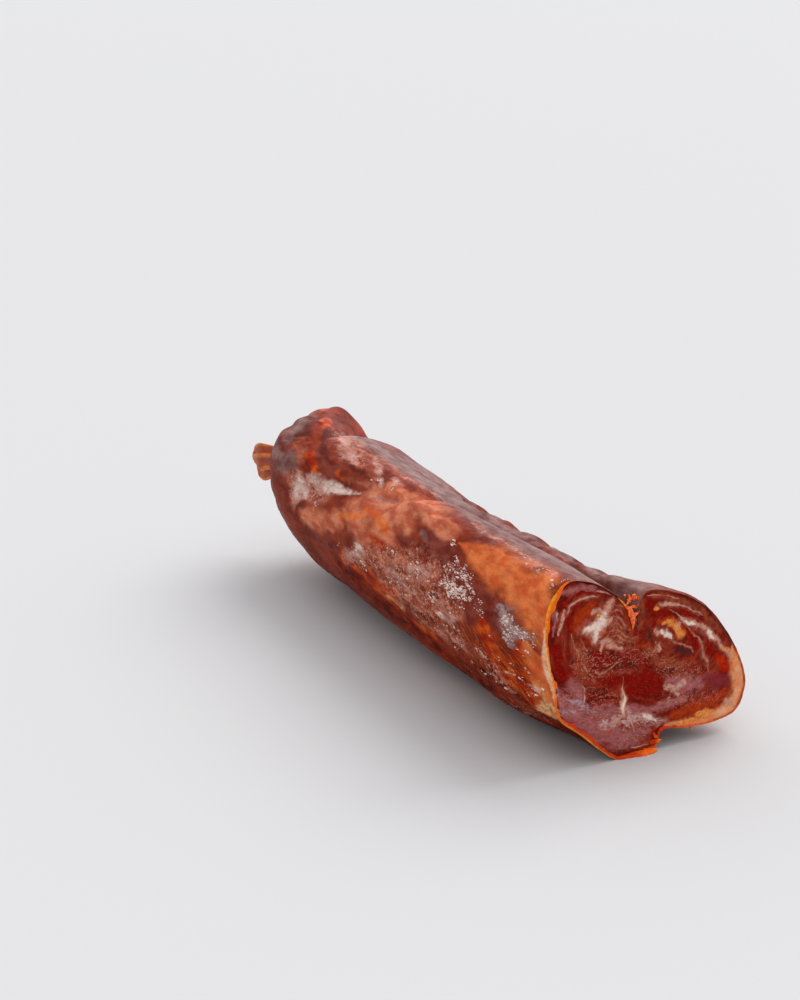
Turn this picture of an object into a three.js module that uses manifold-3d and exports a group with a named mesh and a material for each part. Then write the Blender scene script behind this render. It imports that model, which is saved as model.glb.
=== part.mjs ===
// Half of a dry-cured pork loin in its natural casing, cut straight across at one end.
// Millimetres, +Z up. The loin lies along Y: the cut face looks along -Y, and the closed end,
// with the dried tail of the casing on it, is at +Y. The origin is on the surface that the
// loin rests on, under the middle of its box.

import * as THREE from "three";
import Module from "manifold-3d";
import { mergeVertices } from "three/addons/utils/BufferGeometryUtils.js";

const LOIN_LENGTH = 200;
const TAIL_REACH = 13;
const CUT_Y = -(LOIN_LENGTH + TAIL_REACH) / 2;

// Middle of the meat at the cut face, as [x, z]. Every section is a radius around it.
const CORE = [-1, 27];

// Outlines of three sections as [x, z], from the left flank over the top to the underside.
// The cut shows a tall left muscle and a lower right one that is lifted off the table.
const CUT_OUTLINE = [
  [-33, 41], [-31.8, 50], [-27, 55.4], [-20, 54.6], [-12, 51.2], [-4, 49], [3, 48.4], [12, 45.3],
  [21, 39.3], [28.5, 29.8], [33.5, 21], [35, 13], [32.5, 6.8], [26, 4.7], [16, 4.6], [6.5, 5.6],
  [3.5, 0.6], [-2, -0.4], [-8, -0.2], [-14, 4], [-21, 10.3], [-27.8, 16.2], [-29.7, 24], [-32, 34],
];
const MIDDLE_OUTLINE = [
  [-34.5, 37], [-27, 53], [-18, 54.3], [-9, 50.5], [8, 40.5], [23, 26.5], [27, 17.5], [20, 2],
  [0, -1], [-9, -0.5], [-18.5, 3.5], [-27, 10.5], [-32.5, 21.5],
];
const CLOSED_END_OUTLINE = [
  [-35, 35], [-32.5, 46], [-25, 53], [-15, 56], [-3, 52], [14, 40.5], [22, 21], [14, 4],
  [-4, -1], [-13, 1.5], [-22, 8], [-29, 16], [-33, 25],
];
const OUTLINE_STEPS = 480;

// Distances from the cut over which one section turns into the next.
const MIDDLE_SPAN = [0, 35];
const END_SPAN = [95, 150];

// The closed end: a blunt dome whose middle rises and leans a little to the left.
const DOME_FROM = 152;
const DOME_POWER = 2.6;
const DOME_RISE = 5.5;
const DOME_LEAN = -1;

// The folded-over knob on top of the closed end, with a hollow on its right and a bulge on its
// left, and the swell of the meat in front of it.
const KNOB = { angle: 91, spread: 22, at: 187, reach: 11, height: 8 };
const HOLLOW = { angle: 62, spread: 18, at: 177, reach: 12, height: -3 };
const CHEEK = { angle: 141, spread: 19, at: 185, reach: 9, height: 1 };
const SWELL = { angle: 85, spread: 25, at: 152, reach: 8, height: 1.2 };
const END_FEATURES = [KNOB, HOLLOW, CHEEK, SWELL];

// The sharp crease between the swell and the knob. It comes closer to the cut on the left.
const END_CREASE = { angle: 88, spread: 38, at: 162, slant: 7, reach: 4.4, depth: 5, sharpness: 1.3 };
const END_CREASE_SLANT_SPAN = [86, 118];

// The long fold where the two muscles meet: along the top, then over onto the left flank.
// The spans are distances from the cut over which it drifts, turns, widens and fades.
const FOLD = {
  angle: 101, topDrift: 6, flankTurn: 33, endTurn: 17, cutDepth: 5.5, depth: 5.5, cutFade: 14,
};
const FOLD_DRIFT_SPAN = [0, 85];
const FOLD_FLANK_SPAN = [76, 106];
const FOLD_END_SPAN = [108, 165];
const FOLD_WIDTH = { left: 9, right: 5, rightFar: 15 };
const FOLD_WIDTH_SPAN = [10, 100];
const FOLD_FLANK_LOSS = 0.4;
const FOLD_FLANK_LOSS_SPAN = [85, 115];
const FOLD_FADE_SPAN = [150, 178];
const FOLD_SHARPNESS = 1.5;

// Cross wrinkles over the shoulder of the right muscle.
const WRINKLE = { angle: 58, spread: 34, pitch: 16, height: 0.8, sway: 1.3, swayLength: 23 };
const WRINKLE_RISE_SPAN = [14, 26];
const WRINKLE_FADE_SPAN = [98, 118];

const SIDES = 84;
const ROW_STEP = 4;
const ROWS_UNTIL = 170;
const DOME_ROWS = 9;

// Finer spacing of the points around the fold and around the lifted edge under the cut.
const CROWDING = 0.28;

// The tail: gathered casing that leaves the dome and flares into an upright fan.
const TAIL_PATH = [[-7, 186, 33.4], [-14.6, 196.3, 35], [-20, 204.5, 35.6], [-23.5, 212, 35.2]];
const TAIL_HEIGHT = [4.2, 4, 6.4, 8.2];
const TAIL_THICKNESS = [4, 3.2, 2.6, 2];
const TAIL_SIDES = 20;
const TAIL_ROWS = 10;
const TAIL_PLEATS = 5;
const TAIL_PLEAT_DEPTH = 0.16;
const TAIL_PLEAT_TURN = 0.6;
const TAIL_TIP_BULGE = 1;

const SKIN_COLOUR = 0x7d4334;
const SKIN_ROUGHNESS = 0.5;

const toRadians = THREE.MathUtils.degToRad;
const ease = ([from, to], value) => THREE.MathUtils.smoothstep(value, from, to);
const bell = (distance, spread) => Math.exp(-((distance / spread) ** 2));

/** Shortest turn in degrees from one angle to another. */
function turn(from, to) {
  return THREE.MathUtils.euclideanModulo(to - from + 180, 360) - 180;
}

/** Radius at every whole degree of a smooth closed curve through an outline's points. */
function radiusTable(outline) {
  const points = outline.map(([x, z]) => new THREE.Vector3(x - CORE[0], 0, z - CORE[1]));
  const curve = new THREE.CatmullRomCurve3(points, true, "centripetal");
  const dense = curve.getPoints(OUTLINE_STEPS);
  const table = new Array(360).fill(0);
  for (let degree = 0; degree < 360; degree++) {
    const rayX = Math.cos(toRadians(degree));
    const rayZ = Math.sin(toRadians(degree));
    for (let i = 0; i < OUTLINE_STEPS; i++) {
      const a = dense[i];
      const b = dense[i + 1];
      const sideA = rayX * a.z - rayZ * a.x;
      const sideB = rayX * b.z - rayZ * b.x;
      if (sideA * sideB > 0) continue;
      const share = sideA === sideB ? 0 : sideA / (sideA - sideB);
      const along = rayX * (a.x + share * (b.x - a.x)) + rayZ * (a.z + share * (b.z - a.z));
      table[degree] = Math.max(table[degree], along);
    }
  }
  return table;
}

const cutRadii = radiusTable(CUT_OUTLINE);
const middleRadii = radiusTable(MIDDLE_OUTLINE);
const endRadii = radiusTable(CLOSED_END_OUTLINE);

function lookUp(table, degrees) {
  const turned = THREE.MathUtils.euclideanModulo(degrees, 360);
  const low = Math.floor(turned);
  return THREE.MathUtils.lerp(table[low % 360], table[(low + 1) % 360], turned - low);
}

/** Where the long fold runs at a distance from the cut, in degrees. */
function foldAngle(distance) {
  return FOLD.angle + FOLD.topDrift * ease(FOLD_DRIFT_SPAN, distance)
    + FOLD.flankTurn * ease(FOLD_FLANK_SPAN, distance) + FOLD.endTurn * ease(FOLD_END_SPAN, distance);
}

/** How far the long fold cuts in. */
function foldDip(degrees, distance) {
  const off = turn(foldAngle(distance), degrees);
  const widening = ease(FOLD_WIDTH_SPAN, distance);
  const right = THREE.MathUtils.lerp(FOLD_WIDTH.right, FOLD_WIDTH.rightFar, widening);
  const width = off > 0 ? FOLD_WIDTH.left : right;
  const depth = FOLD.depth + FOLD.cutDepth * Math.exp(-distance / FOLD.cutFade);
  const onFlank = 1 - FOLD_FLANK_LOSS * ease(FOLD_FLANK_LOSS_SPAN, distance);
  const fade = onFlank * (1 - ease(FOLD_FADE_SPAN, distance));
  return depth * fade * Math.exp(-(Math.abs(off / width) ** FOLD_SHARPNESS));
}

/** Rise of a feature that covers one patch of the skin. */
function patchRise({ angle, spread, at, reach, height }, degrees, distance) {
  return height * bell(turn(angle, degrees), spread) * bell(distance - at, reach);
}

/** How far the crease before the knob cuts in. */
function creaseDip(degrees, distance) {
  const slant = END_CREASE.slant * (1 - ease(END_CREASE_SLANT_SPAN, degrees));
  const off = Math.abs(distance - END_CREASE.at - slant) / END_CREASE.reach;
  const over = bell(turn(END_CREASE.angle, degrees), END_CREASE.spread);
  return END_CREASE.depth * over * Math.exp(-(off ** END_CREASE.sharpness));
}

function wrinkleRise(degrees, distance) {
  const over = bell(turn(WRINKLE.angle, degrees), WRINKLE.spread);
  const along = ease(WRINKLE_RISE_SPAN, distance) * (1 - ease(WRINKLE_FADE_SPAN, distance));
  const sway = WRINKLE.sway * Math.sin(distance / WRINKLE.swayLength);
  const wave = Math.sin((2 * Math.PI * distance) / WRINKLE.pitch + sway);
  return WRINKLE.height * wave * over * along;
}

/** Radius of the skin around the core, before the dome closes it. */
function skinRadius(degrees, distance) {
  const toMiddle = ease(MIDDLE_SPAN, distance);
  const toEnd = ease(END_SPAN, distance);
  const front = THREE.MathUtils.lerp(lookUp(cutRadii, degrees), lookUp(middleRadii, degrees), toMiddle);
  const plain = THREE.MathUtils.lerp(front, lookUp(endRadii, degrees), toEnd);
  const dips = foldDip(degrees, distance) + creaseDip(degrees, distance);
  const rises = END_FEATURES.map((feature) => patchRise(feature, degrees, distance));
  return rises.reduce((sum, rise) => sum + rise, plain - dips + wrinkleRise(degrees, distance));
}

/** One point of the skin. The underside is pressed flat by the table. */
function skinPoint(degrees, distance) {
  const along = Math.max(0, (distance - DOME_FROM) / (LOIN_LENGTH - DOME_FROM));
  const closing = Math.max(0, 1 - along ** DOME_POWER) ** (1 / DOME_POWER);
  const shift = ease([DOME_FROM, LOIN_LENGTH], distance);
  const radius = closing * skinRadius(degrees, distance);
  const x = CORE[0] + DOME_LEAN * shift + radius * Math.cos(toRadians(degrees));
  const z = CORE[1] + DOME_RISE * shift + radius * Math.sin(toRadians(degrees));
  return [x, CUT_Y + distance, Math.max(0, z)];
}

/** Distances of the rows of points from the cut, closer together towards the tip of the dome. */
function rowDistances() {
  const rows = [];
  for (let distance = 0; distance < ROWS_UNTIL; distance += ROW_STEP) {
    rows.push(distance);
  }
  for (let i = 0; i < DOME_ROWS; i++) {
    rows.push(ROWS_UNTIL + (LOIN_LENGTH - ROWS_UNTIL) * Math.sin((i / DOME_ROWS) * (Math.PI / 2)));
  }
  return rows;
}

/** Angle of one side, crowded around the fold and, half a turn away, under the cut. */
function sideAngle(side) {
  const even = (360 * side) / SIDES;
  const crowd = CROWDING * Math.sin(toRadians(2 * (even - FOLD.angle)));
  return even - THREE.MathUtils.radToDeg(crowd);
}

/** Closed surface over rows of points, with a point to close each end. */
function closedSkin(rows, firstTip, lastTip) {
  const sides = rows[0].length;
  const corners = [...rows.flat(), firstTip, lastTip];
  const first = rows.length * sides;
  const last = first + 1;
  const index = [];
  for (let side = 0; side < sides; side++) {
    const next = (side + 1) % sides;
    index.push(first, side, next);
    for (let row = 0; row + 1 < rows.length; row++) {
      const a = row * sides + side;
      const b = row * sides + next;
      index.push(a, a + sides, b, b, a + sides, b + sides);
    }
    const end = (rows.length - 1) * sides;
    index.push(last, end + next, end + side);
  }
  const geometry = new THREE.BufferGeometry();
  geometry.setAttribute("position", new THREE.Float32BufferAttribute(corners.flat(), 3));
  geometry.setIndex(index);
  return geometry;
}

function loinGeometry() {
  const angles = Array.from({ length: SIDES }, (_, side) => sideAngle(side));
  const rows = rowDistances().map((distance) => angles.map((degrees) => skinPoint(degrees, distance)));
  const cutMiddle = [CORE[0], CUT_Y, CORE[1]];
  const tip = [CORE[0] + DOME_LEAN, CUT_Y + LOIN_LENGTH, CORE[1] + DOME_RISE];
  return closedSkin(rows, cutMiddle, tip);
}

/** A size along the tail, between the four sizes given for it. */
function tailSize(sizes, share) {
  const curve = new THREE.CatmullRomCurve3(sizes.map((size, i) => new THREE.Vector3(i, size, 0)));
  return curve.getPoint(share).y;
}

function tailGeometry() {
  const points = TAIL_PATH.map(([x, distance, z]) => new THREE.Vector3(x, CUT_Y + distance, z));
  const path = new THREE.CatmullRomCurve3(points);
  const rows = [];
  for (let row = 0; row <= TAIL_ROWS; row++) {
    const share = row / TAIL_ROWS;
    const centre = path.getPoint(share);
    const ahead = path.getTangent(share);
    const across = new THREE.Vector3(ahead.y, -ahead.x, 0).normalize();
    const up = new THREE.Vector3().crossVectors(across, ahead);
    const ring = [];
    for (let side = 0; side < TAIL_SIDES; side++) {
      const angle = (2 * Math.PI * side) / TAIL_SIDES;
      const pleat = 1 + TAIL_PLEAT_DEPTH * share * Math.cos(TAIL_PLEATS * angle + TAIL_PLEAT_TURN);
      const sideways = tailSize(TAIL_THICKNESS, share) * pleat * Math.cos(angle);
      const upward = tailSize(TAIL_HEIGHT, share) * pleat * Math.sin(angle);
      ring.push(centre.clone().addScaledVector(across, sideways).addScaledVector(up, upward).toArray());
    }
    rows.push(ring);
  }
  const tip = points.at(-1).clone().addScaledVector(path.getTangent(1), TAIL_TIP_BULGE);
  return closedSkin(rows, points[0].toArray(), tip.toArray());
}

const wasm = await Module();
wasm.setup();

function toSolid(geometry) {
  const merged = mergeVertices(geometry);
  const vertProperties = new Float32Array(merged.getAttribute("position").array);
  const triVerts = new Uint32Array(merged.getIndex().array);
  return new wasm.Manifold(new wasm.Mesh({ numProp: 3, vertProperties, triVerts }));
}

function toGeometry(solid) {
  const { vertProperties, triVerts } = solid.getMesh();
  const geometry = new THREE.BufferGeometry();
  geometry.setAttribute("position", new THREE.BufferAttribute(vertProperties, 3));
  geometry.setIndex(new THREE.BufferAttribute(triVerts, 1));
  geometry.computeVertexNormals();
  return geometry;
}

/** The loin and its tail are one body of meat in one skin. */
function curedLoin() {
  const solid = toSolid(loinGeometry()).add(toSolid(tailGeometry()));
  const finish = { color: SKIN_COLOUR, roughness: SKIN_ROUGHNESS, metalness: 0 };
  const mesh = new THREE.Mesh(toGeometry(solid), new THREE.MeshStandardMaterial(finish));
  mesh.name = "cured_loin";
  return mesh;
}

const part = new THREE.Group();
part.add(curedLoin());

export default part;
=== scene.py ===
import bpy
import numpy as np
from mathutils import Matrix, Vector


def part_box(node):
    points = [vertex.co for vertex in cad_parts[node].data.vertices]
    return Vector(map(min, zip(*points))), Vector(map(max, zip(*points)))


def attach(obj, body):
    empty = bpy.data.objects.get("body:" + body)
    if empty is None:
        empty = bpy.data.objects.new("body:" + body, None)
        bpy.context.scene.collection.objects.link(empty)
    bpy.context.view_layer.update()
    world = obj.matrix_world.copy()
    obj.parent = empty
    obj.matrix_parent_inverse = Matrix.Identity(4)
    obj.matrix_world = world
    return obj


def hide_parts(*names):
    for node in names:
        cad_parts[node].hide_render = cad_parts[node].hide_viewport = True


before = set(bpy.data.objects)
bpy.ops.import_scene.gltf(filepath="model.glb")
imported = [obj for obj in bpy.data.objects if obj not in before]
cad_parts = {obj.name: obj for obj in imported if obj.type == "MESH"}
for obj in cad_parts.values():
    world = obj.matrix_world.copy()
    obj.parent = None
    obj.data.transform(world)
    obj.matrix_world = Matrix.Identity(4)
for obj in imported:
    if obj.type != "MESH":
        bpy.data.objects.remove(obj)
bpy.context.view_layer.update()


# The loin in its casing
# A whole pork loin, seasoned, pushed into a natural casing and hung until dry and firm, then cut
# in half. Two muscles lie side by side in it, and the casing dips into the long fold between them.

LOIN_LENGTH = 200.0
TAIL_REACH = 13.0
loin_low, loin_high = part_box("cured_loin")
MM = (loin_high.y - loin_low.y) / (LOIN_LENGTH + TAIL_REACH)
CUT_Y = loin_low.y

# Middle of the meat at the cut, and outlines of three sections as (x, z), all in millimetres. Each
# section turns into the next over a stretch of the loin's length.
CORE_X, CORE_Z = -1.0, 27.0
CUT_OUTLINE = [
    (-33, 41), (-31.8, 50), (-27, 55.4), (-20, 54.6), (-12, 51.2), (-4, 49), (3, 48.4), (12, 45.3),
    (21, 39.3), (28.5, 29.8), (33.5, 21), (35, 13), (32.5, 6.8), (26, 4.7), (16, 4.6), (6.5, 5.6),
    (3.5, 0.6), (-2, -0.4), (-8, -0.2), (-14, 4), (-21, 10.3), (-27.8, 16.2), (-29.7, 24), (-32, 34),
]
MIDDLE_OUTLINE = [
    (-34.5, 37), (-27, 53), (-18, 54.3), (-9, 50.5), (8, 40.5), (23, 26.5), (27, 17.5), (20, 2),
    (0, -1), (-9, -0.5), (-18.5, 3.5), (-27, 10.5), (-32.5, 21.5),
]
CLOSED_END_OUTLINE = [
    (-35, 35), (-32.5, 46), (-25, 53), (-15, 56), (-3, 52), (14, 40.5), (22, 21), (14, 4), (-4, -1),
    (-13, 1.5), (-22, 8), (-29, 16), (-33, 25),
]
MIDDLE_STRETCH = (0, 35)
END_STRETCH = (95, 150)
DOME_FROM = 152.0
DOME_POWER = 2.6
DOME_RISE = 5.5


def ease(start, end, value):
    """Smooth step from 0 at start to 1 at end."""
    share = np.clip((value - start) / (end - start), 0, 1)
    return share * share * (3 - 2 * share)


def bell(distance, spread):
    """Bell curve: 1 at distance 0, falling with the square of distance over spread."""
    return np.exp(-((distance / spread) ** 2))


def mix(below, above, share):
    """Straight blend of two arrays."""
    return below + (above - below) * share


def band(start, end, soft, value):
    """Mask of a stretch from start to end, easing in and out over soft on either side."""
    return ease(start - soft, start + soft, value) * (1 - ease(end - soft, end + soft, value))


def turn(start, end):
    """Shortest turn in degrees from one angle to another."""
    return (end - start + 180) % 360 - 180


def radii_of(outline, steps=40):
    """Angles and radii about the core of a smooth closed curve through an outline's points.

    The curve is a centripetal Catmull-Rom spline: each stretch is a cubic, and its end slopes come
    from the neighbouring points, weighted by the square roots of the gaps between them.
    """
    here = np.asarray(outline, float)
    before, after, beyond = (np.roll(here, shift, 0) for shift in (1, -1, -2))
    pairs = ((before, here), (here, after), (after, beyond))
    g0, g1, g2 = (np.hypot(*(b - a).T)[:, None] ** 0.5 for a, b in pairs)
    slope = ((here - before) / g0 - (after - before) / (g0 + g1) + (after - here) / g1) * g1
    slope_after = ((after - here) / g1 - (beyond - here) / (g1 + g2) + (beyond - after) / g2) * g1
    share = np.linspace(0, 1, steps, endpoint=False)[:, None, None]
    square = -3 * here + 3 * after - 2 * slope - slope_after
    cube = 2 * here - 2 * after + slope + slope_after
    curve = (here + slope * share + square * share**2 + cube * share**3).reshape(-1, 2)
    off_x, off_z = curve[:, 0] - CORE_X, curve[:, 1] - CORE_Z
    angles = np.degrees(np.arctan2(off_z, off_x)) % 360
    order = np.argsort(angles)
    return angles[order], np.hypot(off_x, off_z)[order]


sections = [radii_of(outline) for outline in (CUT_OUTLINE, MIDDLE_OUTLINE, CLOSED_END_OUTLINE)]

# The long fold. Its line turns round the loin by an angle, in degrees, between two distances from
# the cut, and it is deepest at its mouth.
FOLD_ANGLE = 101.0
FOLD_TURNS = [(6, 0, 85), (33, 76, 106), (17, 108, 165)]
FOLD_DEPTH = 5.5
FOLD_MOUTH_DEPTH = 5.5
FOLD_MOUTH_LENGTH = 14.0
FOLD_LEFT_WIDTH = 9.0
FOLD_RIGHT_WIDTHS = (5.0, 15.0)
FOLD_SHARPNESS = 1.5


def fold_dip(degrees, distance):
    """Depth of the long fold: a sharp bell round a line that drifts along the top, then turns
    over onto the left flank and fades out before the closed end."""
    line = FOLD_ANGLE + sum(angle * ease(start, end, distance) for angle, start, end in FOLD_TURNS)
    off = turn(line, degrees)
    right_width = mix(*FOLD_RIGHT_WIDTHS, ease(10, 100, distance))
    width = np.where(off > 0, FOLD_LEFT_WIDTH, right_width)
    depth = FOLD_DEPTH + FOLD_MOUTH_DEPTH * np.exp(-distance / FOLD_MOUTH_LENGTH)
    fade = (1 - 0.4 * ease(85, 115, distance)) * (1 - ease(150, 178, distance))
    return depth * fade * np.exp(-np.abs(off / width) ** FOLD_SHARPNESS)


# Forms of the closed end as (degrees, spread round, distance, spread along, rise): the folded knob,
# the swell before it, a hollow on its right and a bulge on its left. A sharp crease parts the knob
# from the swell, and broad wrinkles cross the right shoulder.
END_FORMS = [(91, 22, 187, 11, 8), (85, 25, 152, 8, 1.2), (62, 18, 177, 12, -3), (141, 19, 185, 9, 1)]
CREASE_ANGLE = 88.0
CREASE_SPREAD = 38.0
CREASE_DISTANCE = 162.0
CREASE_RIGHT_SHIFT = 7.0
CREASE_WIDTH = 4.4
CREASE_SHARPNESS = 1.3
CREASE_DEPTH = 5.0
SHOULDER_ANGLE = 58.0
SHOULDER_SPREAD = 34.0
SHOULDER_FOLD_PITCH = 16.0
SHOULDER_FOLD_HEIGHT = 0.8


def skin_radius(degrees, distance):
    """Radius of the smooth casing: the cut's outline turns into the middle one and then into the
    closed end's, less the long fold and the crease, with the shoulder's wrinkles as a wandering sine
    and the forms of the closed end as bells."""
    cut, middle, end = (np.interp(degrees, *section, period=360) for section in sections)
    plain = mix(mix(cut, middle, ease(*MIDDLE_STRETCH, distance)), end, ease(*END_STRETCH, distance))
    sway = 2 * np.pi * distance / SHOULDER_FOLD_PITCH + 1.3 * np.sin(distance / 23)
    shoulder = bell(turn(SHOULDER_ANGLE, degrees), SHOULDER_SPREAD)
    shoulder = shoulder * ease(14, 26, distance) * (1 - ease(98, 118, distance))
    crease_line = CREASE_DISTANCE + CREASE_RIGHT_SHIFT * (1 - ease(86, 118, degrees))
    crease_gap = np.abs(distance - crease_line) / CREASE_WIDTH
    crease = bell(turn(CREASE_ANGLE, degrees), CREASE_SPREAD) * np.exp(-(crease_gap**CREASE_SHARPNESS))
    forms = [
        rise * bell(turn(angle, degrees), spread_round) * bell(distance - spot, spread_along)
        for angle, spread_round, spot, spread_along, rise in END_FORMS
    ]
    wrinkles = SHOULDER_FOLD_HEIGHT * np.sin(sway) * shoulder
    return plain - fold_dip(degrees, distance) + wrinkles + sum(forms) - CREASE_DEPTH * crease


def smooth_skin(degrees, distance, inset=0.0):
    """Points of the smooth casing as x, distance from the cut and z, in millimetres: the radius
    turned round the core and drawn in by the dome. Gives the share that the dome leaves as well."""
    along = np.clip((distance - DOME_FROM) / (LOIN_LENGTH - DOME_FROM), 0, 1)
    closing = (1 - along**DOME_POWER) ** (1 / DOME_POWER)
    shift = ease(DOME_FROM, LOIN_LENGTH, distance)
    radius = closing * (skin_radius(degrees, distance) - inset)
    x = CORE_X - shift + radius * np.cos(np.radians(degrees))
    z = CORE_Z + DOME_RISE * shift + radius * np.sin(np.radians(degrees))
    return np.stack([x, distance + 0 * radius, z], -1), closing


# Lumps, stains and wrinkles of the casing are about twice as long as wide, as the meat is stretched
# when it is pushed in.
DRAWN_OUT = 2.0
LATTICE_CELLS = 32
lattice = np.random.default_rng(11).uniform(-1, 1, (LATTICE_CELLS,) * 3)


def grain(points, size):
    """Lattice noise from -1 to 1: random values at the corners of cells of the given size, mixed
    across each cell by eased shares."""
    place = np.asarray(points) / size
    cell = np.floor(place).astype(int)
    share = place - cell
    share = share * share * (3 - 2 * share)
    total = np.zeros(place.shape[:-1])
    for corner in np.ndindex(2, 2, 2):
        i, j, k = np.moveaxis((cell + corner) % LATTICE_CELLS, -1, 0)
        weight = np.where(corner, share, 1 - share).prod(-1)
        total += weight * lattice[i, j, k]
    return total


def layered(points, layers):
    """Lattice noise of several sizes added up, each given as its size and its height."""
    return sum(height * grain(points, size) for size, height in layers)


# The casing's own relief in millimetres: lumps as (size, height), strands on the flank that slant
# down towards the cut, fine wrinkles across the right shoulder, and pleats at the closed end.
SKIN_LUMPS = [(9, 0.42), (3.6, 0.2), (1.5, 0.09)]
DRIFT_SIZE = 9.0
STRAND_PITCH = 2.4
STRAND_HEIGHT = 0.2
STRAND_SLANT = 0.6
STRAND_SLANT_TO = 70.0
STRAND_FALL = 0.15
STRAND_WANDER = 1.6
WRINKLE_PITCH = 5.2
WRINKLE_HEIGHT = 0.34
WRINKLE_WANDER = 2.4
END_PLEATS = 23
PLEAT_HEIGHT = 0.7
PLEAT_WANDER = 2.5
DEGREE_ARC = 0.52


def strand_place(degrees, distance):
    """Place across the strands in millimetres: down the flank, and on by the slant along the loin."""
    slanted = STRAND_SLANT * np.minimum(distance, STRAND_SLANT_TO)
    return degrees * DEGREE_ARC + slanted + STRAND_FALL * distance


def strand_share(degrees, distance):
    """How much the strands show: fully low on the flank near the cut, less farther on."""
    low_flank = ease(160, 178, degrees) * (1 - ease(222, 240, degrees))
    return low_flank * (1 - 0.75 * ease(35, 95, distance))


def skin_relief(degrees, distance, smooth):
    """How far the casing stands off the smooth form: lumps of three sizes, wandering sines across
    the right shoulder and along the lower flank, and pleats gathered towards the closed end."""
    lumps = layered(smooth / [1, DRAWN_OUT, 1], SKIN_LUMPS)
    drift = grain(smooth, DRIFT_SIZE)
    shoulder = bell(turn(64, degrees), 30) * ease(8, 20, distance) * (1 - ease(105, 130, distance))
    wrinkles = WRINKLE_HEIGHT * np.sin(2 * np.pi * (distance + WRINKLE_WANDER * drift) / WRINKLE_PITCH)
    strand_turn = 2 * np.pi * (strand_place(degrees, distance) + STRAND_WANDER * drift) / STRAND_PITCH
    strands = STRAND_HEIGHT * np.sin(strand_turn) * strand_share(degrees, distance)
    gathered = ease(172, 196, distance)
    pleats = PLEAT_HEIGHT * np.cos(np.radians(END_PLEATS * degrees) + PLEAT_WANDER * drift)
    return lumps * (1 - 0.5 * gathered) + wrinkles * shoulder + strands + pleats * gathered


def skin(degrees, distance, inset=0.0):
    """Points of the casing with its relief, no lower than the table."""
    points, closing = smooth_skin(degrees, distance, inset)
    rise = skin_relief(degrees, distance, points) * closing
    points[..., 0] += rise * np.cos(np.radians(degrees))
    points[..., 2] += rise * np.sin(np.radians(degrees))
    points[..., 2] = np.maximum(points[..., 2], 0)
    return points


def in_metres(points):
    """Points of x, distance from the cut and z, moved into the frame."""
    return points * MM + np.array([0, CUT_Y, 0])


def link_piece(name, corners, faces, masks):
    """A smooth mesh over corners in millimetres, as an object at the origin. Every mask becomes a
    point attribute."""
    mesh = bpy.data.meshes.new(name)
    mesh.from_pydata(in_metres(corners).tolist(), [], faces)
    for label, values in masks.items():
        attribute = mesh.attributes.new(label, "FLOAT", "POINT")
        attribute.data.foreach_set("value", values.astype(np.float32))
    mesh.shade_smooth()
    piece = bpy.data.objects.new(name, mesh)
    bpy.context.scene.collection.objects.link(piece)
    return piece


def add_piece(name, rings, masks=None, looped=False):
    """A closed piece over rings of points. Quads join neighbouring rings. A looped piece joins its
    last ring to the first, and any other gets a fan from the middle of each end ring. Faces are
    turned so that the volume they enclose is positive."""
    rows, sides = rings.shape[:2]
    side = np.arange(sides)
    after = (side + 1) % sides
    row = np.arange(rows if looped else rows - 1)[:, None] * sides
    above = (row + sides) % (rows * sides)
    quads = np.stack([row + side, above + side, above + after, row + after], -1).reshape(-1, 4)
    corners = rings.reshape(-1, 3)
    fans = np.zeros((0, 3), int)
    if not looped:
        first, last, end = rows * sides, rows * sides + 1, (rows - 1) * sides
        corners = np.concatenate([corners, rings[0].mean(0)[None], rings[-1].mean(0)[None]])
        near_fan = np.stack([np.full(sides, first), side, after], -1)
        far_fan = np.stack([np.full(sides, last), end + after, end + side], -1)
        fans = np.concatenate([near_fan, far_fan])
    triangles = np.concatenate([quads[:, [0, 1, 2]], quads[:, [0, 2, 3]], fans])
    a, b, c = np.moveaxis((corners - corners.mean(0))[triangles], 1, 0)
    turned = 1 if np.sum(a * np.cross(b, c)) > 0 else -1
    faces = quads[:, ::turned].tolist() + fans[:, ::turned].tolist()
    spread = {}
    for label, values in (masks or {}).items():
        ends = [] if looped else [values[0].mean(), values[-1].mean()]
        spread[label] = np.concatenate([values.ravel(), ends])
    return link_piece(name, corners, faces, spread)


def finish_piece(piece, material):
    """Gives a piece its material and its body."""
    piece.data.materials.append(material)
    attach(piece, "root")


# Rings of the casing. The first two close it behind the cut meat, the next few round off its edge,
# and the last crowd together towards the end of the dome. Points crowd beside the long fold.
SKIN_SIDES = 372
SIDE_CROWDING = 0.28
CLOSING_INSETS = [12.0, 0.7]
CLOSING_DEPTHS = [1.8, 1.6]
EDGE_ROUND = 0.5
EDGE_RINGS = 4
STRAIGHT_TO = 170.0
STRAIGHT_RINGS = 212
DOME_RINGS = 44

even = np.linspace(0, 360, SKIN_SIDES, endpoint=False)
skin_degrees = even - np.degrees(SIDE_CROWDING * np.sin(np.radians(2 * (even - FOLD_ANGLE))))
quarter = np.linspace(0, np.pi / 2, EDGE_RINGS, endpoint=False)
straight = np.linspace(EDGE_ROUND, STRAIGHT_TO, STRAIGHT_RINGS)
dome_turn = np.linspace(0, np.pi / 2, DOME_RINGS)[1:-1]
dome = STRAIGHT_TO + (LOIN_LENGTH - STRAIGHT_TO) * np.sin(dome_turn)
skin_distances = np.concatenate([CLOSING_DEPTHS, EDGE_ROUND * (1 - np.cos(quarter)), straight, dome])
skin_insets = np.concatenate([CLOSING_INSETS, EDGE_ROUND * (1 - np.sin(quarter)), 0 * straight, 0 * dome])
degrees, distance = np.meshgrid(skin_degrees, skin_distances)
skin_points = skin(degrees, distance, np.broadcast_to(skin_insets[:, None], degrees.shape))
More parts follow.
